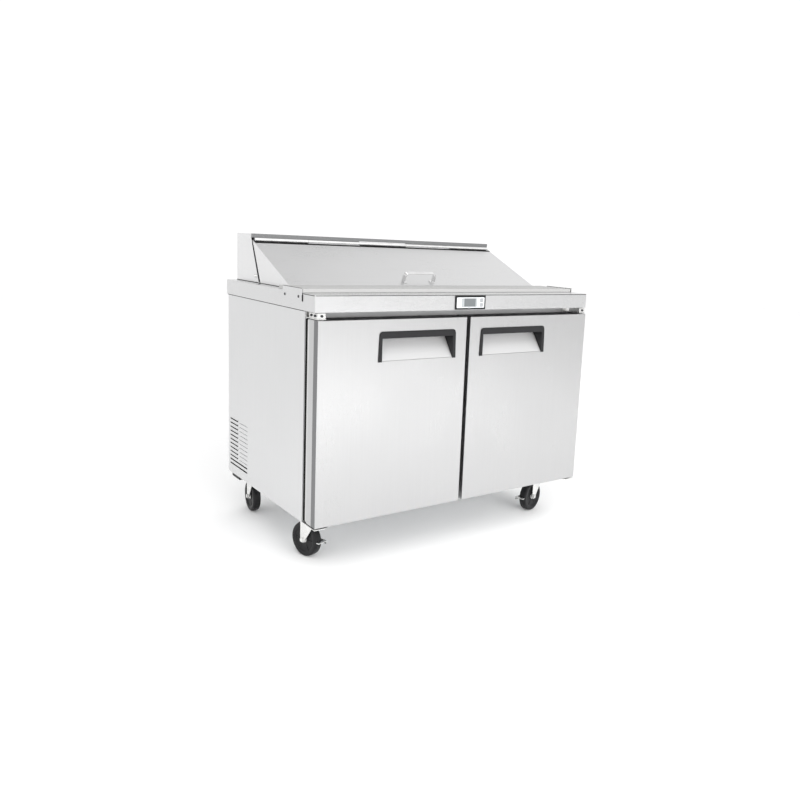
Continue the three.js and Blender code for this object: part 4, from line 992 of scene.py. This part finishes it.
SHELF_WIRES = 22
SHELF_INSET = 16 * MM           # from the border's side to the first wire
BORDER_R = 3.4 * MM
CROSS_BAR_R = 2.6 * MM
WIRE_R = 1.8 * MM


def add_shelf(side):
    """Wire shelf: a border bar, two cross bars and the wires that lie on them."""
    name = f"shelf_{side}"
    low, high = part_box(name)
    centre = (low + high) / 2
    half_x, half_y = (high.x - low.x) / 2 - BORDER_R, (high.y - low.y) / 2 - BORDER_R
    bm = bmesh.new()
    ring = rounded_ring(half_x, half_y, 14 * MM)
    add_tube(bm, [(centre.x + x, centre.y + y, low.z + BORDER_R) for x, y in ring], BORDER_R, 12, closed=True)
    bar_z = low.z + CROSS_BAR_R + 0.1 * MM
    for share in (-0.45, 0.45):
        y = centre.y + share * half_y
        add_tube(bm, [(centre.x - half_x, y, bar_z), (centre.x + half_x, y, bar_z)], CROSS_BAR_R)
    wire_z = high.z - WIRE_R - 0.1 * MM
    pitch = 2 * (half_x - SHELF_INSET) / (SHELF_WIRES - 1)
    for i in range(SHELF_WIRES):
        x = centre.x - half_x + SHELF_INSET + i * pitch
        add_tube(bm, [(x, centre.y - half_y, wire_z), (x, centre.y + half_y, wire_z)], WIRE_R, 8)
    add_piece(f"{name}_wires", bm, "shelf_wire", name, [name])


def add_blade(bm, place, inner, outer, sweep, twist, depth):
    """One fan blade: a cambered sheet between two radii."""
    steps = 6
    grids = []
    for lift in (-0.8 * MM, 0.8 * MM):
        rows = []
        for i in range(steps + 1):
            radius = inner + (outer - inner) * i / steps
            row = []
            for j in range(steps + 1):
                share = j / steps - 0.5
                angle = sweep * share * (1 + 0.25 * i / steps) + twist * i / steps
                height = depth * (share * (1 - 0.4 * i / steps) + 0.18 * (0.25 - share * share) * 4) + lift
                point = Vector((radius * math.cos(angle), radius * math.sin(angle), height))
                row.append(bm.verts.new(place @ point))
            rows.append(row)
        grids.append(rows)
    for rows in grids:
        for i in range(steps):
            for j in range(steps):
                bm.faces.new((rows[i][j], rows[i + 1][j], rows[i + 1][j + 1], rows[i][j + 1]))
    first, second = grids
    for i in range(steps):
        for j in (0, steps):
            bm.faces.new((first[i][j], first[i + 1][j], second[i + 1][j], second[i][j]))
            bm.faces.new((first[j][i], first[j][i + 1], second[j][i + 1], second[j][i]))


FAN_BLADES = 5


def add_fan(name, radius, hub, depth):
    """Fan wheel: a hub with a sunk middle, and its blades."""
    centre, axis = joint_line(f"{name}_spin")
    place = frame_matrix(centre, axis)
    half = depth / 2
    profile = [
        (0, -half), (hub * 0.9, -half), (hub, -half + 2 * MM), (hub, half - 2 * MM), (hub * 0.9, half),
        (hub * 0.4, half), (hub * 0.36, half - 1.5 * MM), (0, half - 1.5 * MM)]
    bm = bmesh.new()
    add_lathe(bm, profile, centre, axis, 40)
    for i in range(FAN_BLADES):
        turn = Matrix.Rotation(2 * math.pi * i / FAN_BLADES, 4, "Z")
        add_blade(bm, place @ turn, hub - 1 * MM, radius, math.radians(48), math.radians(14), depth * 0.75)
    add_piece(f"{name}_wheel", bm, "fan_plastic", name, [name])


def add_fan_guard():
    """Wire guard on the evaporator cover: rings, and three bars across them."""
    centre, _ = joint_line("evaporator_fan_spin")
    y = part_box("evaporator_cover")[0].y + 0.2 * MM

    def at(radius, angle, y):
        return (centre.x + radius * math.cos(angle), y, centre.z + radius * math.sin(angle))

    bm = bmesh.new()
    for radius in (22, 36, 50, 64):
        add_tube(bm, [at(radius * MM, 2 * math.pi * k / 48, y) for k in range(48)], 1.2 * MM, 8, closed=True)
    for k in range(3):
        angle = math.pi * k / 3 + 0.3
        add_tube(bm, [at(reach * MM, angle, y + 1.4 * MM) for reach in (-71, 71)], 1.6 * MM, 8)
    add_piece("evaporator_fan_guard", bm, "shelf_wire", "cabinet")


FIN_PITCH = 4.2 * MM
BEND_PITCH = 50 * MM
BEND_FOOT = 30 * MM             # from the coil's foot to the lowest bend
BEND_R = 12 * MM
BEND_REACH = 11 * MM


def add_coil(name, axis):
    """Finned coil: end plates, thin fins and the copper bends of its tubes."""
    low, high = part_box(name)
    length = high[axis] - low[axis]
    count = int(length / FIN_PITCH)
    bm = bmesh.new()
    for i in range(count + 1):
        at = low[axis] + i * length / count
        thick = (1.2 if i in (0, count) else 0.25) * MM
        first, last = Vector(low), Vector(high)
        first[axis], last[axis] = max(low[axis], at - thick), min(high[axis], at + thick)
        add_block(bm, first, last)
    add_piece(f"{name}_fins", bm, "fin_metal", "cabinet", [name])
    bm = bmesh.new()
    depth_axis = 1 - axis
    middle = (low[depth_axis] + high[depth_axis]) / 2
    for k in range(int((high.z - low.z) / BEND_PITCH)):
        z = low.z + BEND_FOOT + k * BEND_PITCH
        for end, out in ((low[axis], -1), (high[axis], 1)):
            points = []
            for i in range(9):
                a = math.pi * i / 8
                point = Vector((0, 0, z - BEND_R * math.cos(a)))
                point[axis] = end + out * BEND_REACH * math.sin(a)
                point[depth_axis] = middle
                points.append(point)
            add_tube(bm, points, 3.6 * MM, 10)
    add_piece(f"{name}_bends", bm, "copper", "cabinet")


COMPRESSOR_POT = [
    (0, 13), (58, 13), (78, 17), (86, 28), (86, 118), (83, 132), (76, 147), (64, 160), (46, 170), (24, 176),
    (0, 178)]
POT_TOP = 178 * MM
GROMMET = [(0, 0), (11, 0), (12, 2), (9, 5), (12, 8), (10, 11), (0, 11)]


def add_compressor():
    """Compressor: welded pot, foot plate and terminal box, on four rubber grommets."""
    low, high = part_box("compressor")
    centre = (low + high) / 2
    base = Vector((centre.x, centre.y, low.z))
    stretch = (high.z - low.z) / POT_TOP
    bm = bmesh.new()
    add_lathe(bm, [(r * MM, h * MM * stretch) for r, h in COMPRESSOR_POT], base, (0, 0, 1), 64)
    add_plate(
        bm, [rectangle(-105 * MM, -88 * MM, 105 * MM, 88 * MM, 14 * MM)], 3 * MM,
        Matrix.Translation(base + Vector((0, 0, 6 * MM))), 0.5 * MM)
    add_plate(
        bm, [rectangle(84 * MM, -30 * MM, 100 * MM, 30 * MM, 5 * MM)], 66 * MM,
        Matrix.Translation(base + Vector((0, 0, 84 * MM))), 2 * MM)
    add_piece("compressor_pot", bm, "compressor_paint", "cabinet", ["compressor"])
    bm = bmesh.new()
    for sx in (-1, 1):
        for sy in (-1, 1):
            foot = base + Vector((sx * 90 * MM, sy * 72 * MM, 0))
            add_lathe(bm, [(r * MM, h * MM) for r, h in GROMMET], foot, (0, 0, 1), 28)
    add_piece("compressor_grommets", bm, "seal_rubber", "cabinet")
    add_pipes(base)


PIPE_LANE = 436 * MM            # behind the liner's front, clear of the condenser fan's blades


def add_pipes(base):
    """Two copper pipes from the compressor, whose foot is at base, to the condenser coil."""
    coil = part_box("condenser_coil")[1]
    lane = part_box("cabinet_liner")[0].y + PIPE_LANE
    bm = bmesh.new()
    for height, x, out in ((118, -30, 0), (68, 10, 12)):
        start = base + Vector((x * MM, -60 * MM, height * MM))
        turn = Vector((start.x - 30 * MM, lane + out * MM, start.z))
        end = Vector((coil.x - 6 * MM, lane + out * MM, start.z + 10 * MM))
        add_tube(bm, [start, start.lerp(turn, 0.6), turn, turn.lerp(end, 0.1), end], 4 * MM, 12)
    add_piece("refrigerant_pipes", bm, "copper", "cabinet")


def add_details():
    for side, sign in LEFT_RIGHT:
        add_door_details(side, sign)
        add_hinge_block(side, sign)
        add_shelf(side)
    add_recess()
    add_dark_lines()
    add_bracket_shadow_lines()
    add_hood_details()
    add_controller_face()
    add_vents()
    add_underside()
    add_rear_screws()
    for corner in CASTERS:
        add_wheel(corner)
    for number in range(1, 7):
        add_pan(number)
    add_fan("evaporator_fan", 62 * MM, 20 * MM, 16 * MM)
    add_fan("condenser_fan", 88 * MM, 26 * MM, 22 * MM)
    add_fan_guard()
    add_coil("evaporator_coil", 0)
    add_coil("condenser_coil", 1)
    add_compressor()


# ---------------------------------------------------------------- studio


def add_light(name, place, target, size, power):
    data = bpy.data.lights.new(name, "AREA")
    data.shape = "RECTANGLE"
    data.size, data.size_y = size
    data.energy = power
    lamp = bpy.data.objects.new(name, data)
    ahead = Vector(target) - Vector(place)
    lamp.matrix_world = Matrix.Translation(place) @ ahead.to_track_quat("-Z", "Y").to_matrix().to_4x4()
    bpy.context.scene.collection.objects.link(lamp)
    return lamp


# The surround's brightness. Each is a range over the sideways part of the direction, left to right.
FRONT_LIGHT = (1.3, 0.86)        # in front of the table, which the doors reflect
FRONT_SPAN = (0.38, 0.8)
BACK_LIGHT = (0.62, 0.98)        # above and behind it, which the lid reflects
BACK_SPAN = (0.3, 0.68)
HORIZON_LIGHT = 1.08
ZENITH_LIGHT = 1.35
RISE_SPAN = (0.3, 0.5)           # upward part of the direction, from the horizon to the back light
AHEAD_SPAN = (-0.3, 0.1)         # forward part of it, from the front light to what is behind
ZENITH_SPAN = (0.8, 0.92)
KEY_POWER = 40                   # watts
FILL_POWER = 125


class Surround:
    """The nodes of the world, whose brightness varies with the direction."""

    def __init__(self):
        self.world = bpy.data.worlds.new("studio")
        self.world.use_nodes = True
        self.tree = self.world.node_tree
        split = self.tree.nodes.new("ShaderNodeSeparateXYZ")
        coordinates = self.tree.nodes.new("ShaderNodeTexCoord")
        self.tree.links.new(coordinates.outputs["Generated"], split.inputs["Vector"])
        self.across, self.ahead, self.up = split.outputs

    def spread(self, value, span, levels):
        node = self.tree.nodes.new("ShaderNodeMapRange")
        node.interpolation_type = "SMOOTHSTEP"
        for name, number in zip(("From Min", "From Max", "To Min", "To Max"), (*span, *levels)):
            node.inputs[name].default_value = number
        self.tree.links.new(value, node.inputs["Value"])
        return node.outputs["Result"]

    def between(self, share, first, second):
        node = self.tree.nodes.new("ShaderNodeMix")
        self.tree.links.new(share, node.inputs["Factor"])
        for socket, value in ((node.inputs[2], first), (node.inputs[3], second)):
            if isinstance(value, float):
                socket.default_value = value
            else:
                self.tree.links.new(value, socket)
        return node.outputs[0]


def studio_world():
    sky = Surround()
    front = sky.spread(sky.across, FRONT_SPAN, FRONT_LIGHT)
    back = sky.spread(sky.across, BACK_SPAN, BACK_LIGHT)
    behind = sky.between(sky.spread(sky.up, RISE_SPAN, (0, 1)), HORIZON_LIGHT, back)
    around = sky.between(sky.spread(sky.ahead, AHEAD_SPAN, (0, 1)), front, behind)
    whole = sky.between(sky.spread(sky.up, ZENITH_SPAN, (0, 1)), around, ZENITH_LIGHT)
    background = sky.tree.nodes["Background"]
    background.inputs["Color"].default_value = (1, 1, 1, 1)
    sky.tree.links.new(whole, background.inputs["Strength"])
    return sky.world


def add_studio():
    """A wide pale floor, the surround, and two soft lights; the fill makes no highlights."""
    bm = bmesh.new()
    bmesh.ops.create_grid(bm, x_segments=8, y_segments=8, size=14)
    mesh = bpy.data.meshes.new("floor")
    bm.to_mesh(mesh)
    bm.free()
    floor = bpy.data.objects.new("floor", mesh)
    floor.data.materials.append(floor_material())
    bpy.context.scene.collection.objects.link(floor)
    bpy.context.scene.world = studio_world()
    bpy.context.scene.view_settings.view_transform = "Standard"
    add_light("key", (-2.2, -2.6, 3.4), (0, 0, 0.7), (2.6, 2.6), KEY_POWER)
    fill = add_light("fill", (0.5, -4.4, 1.4), (0.1, 0, 0.1), (3.6, 1.5), FILL_POWER)
    fill.visible_glossy = False


add_camera()
dress_cad()
add_details()
add_studio()
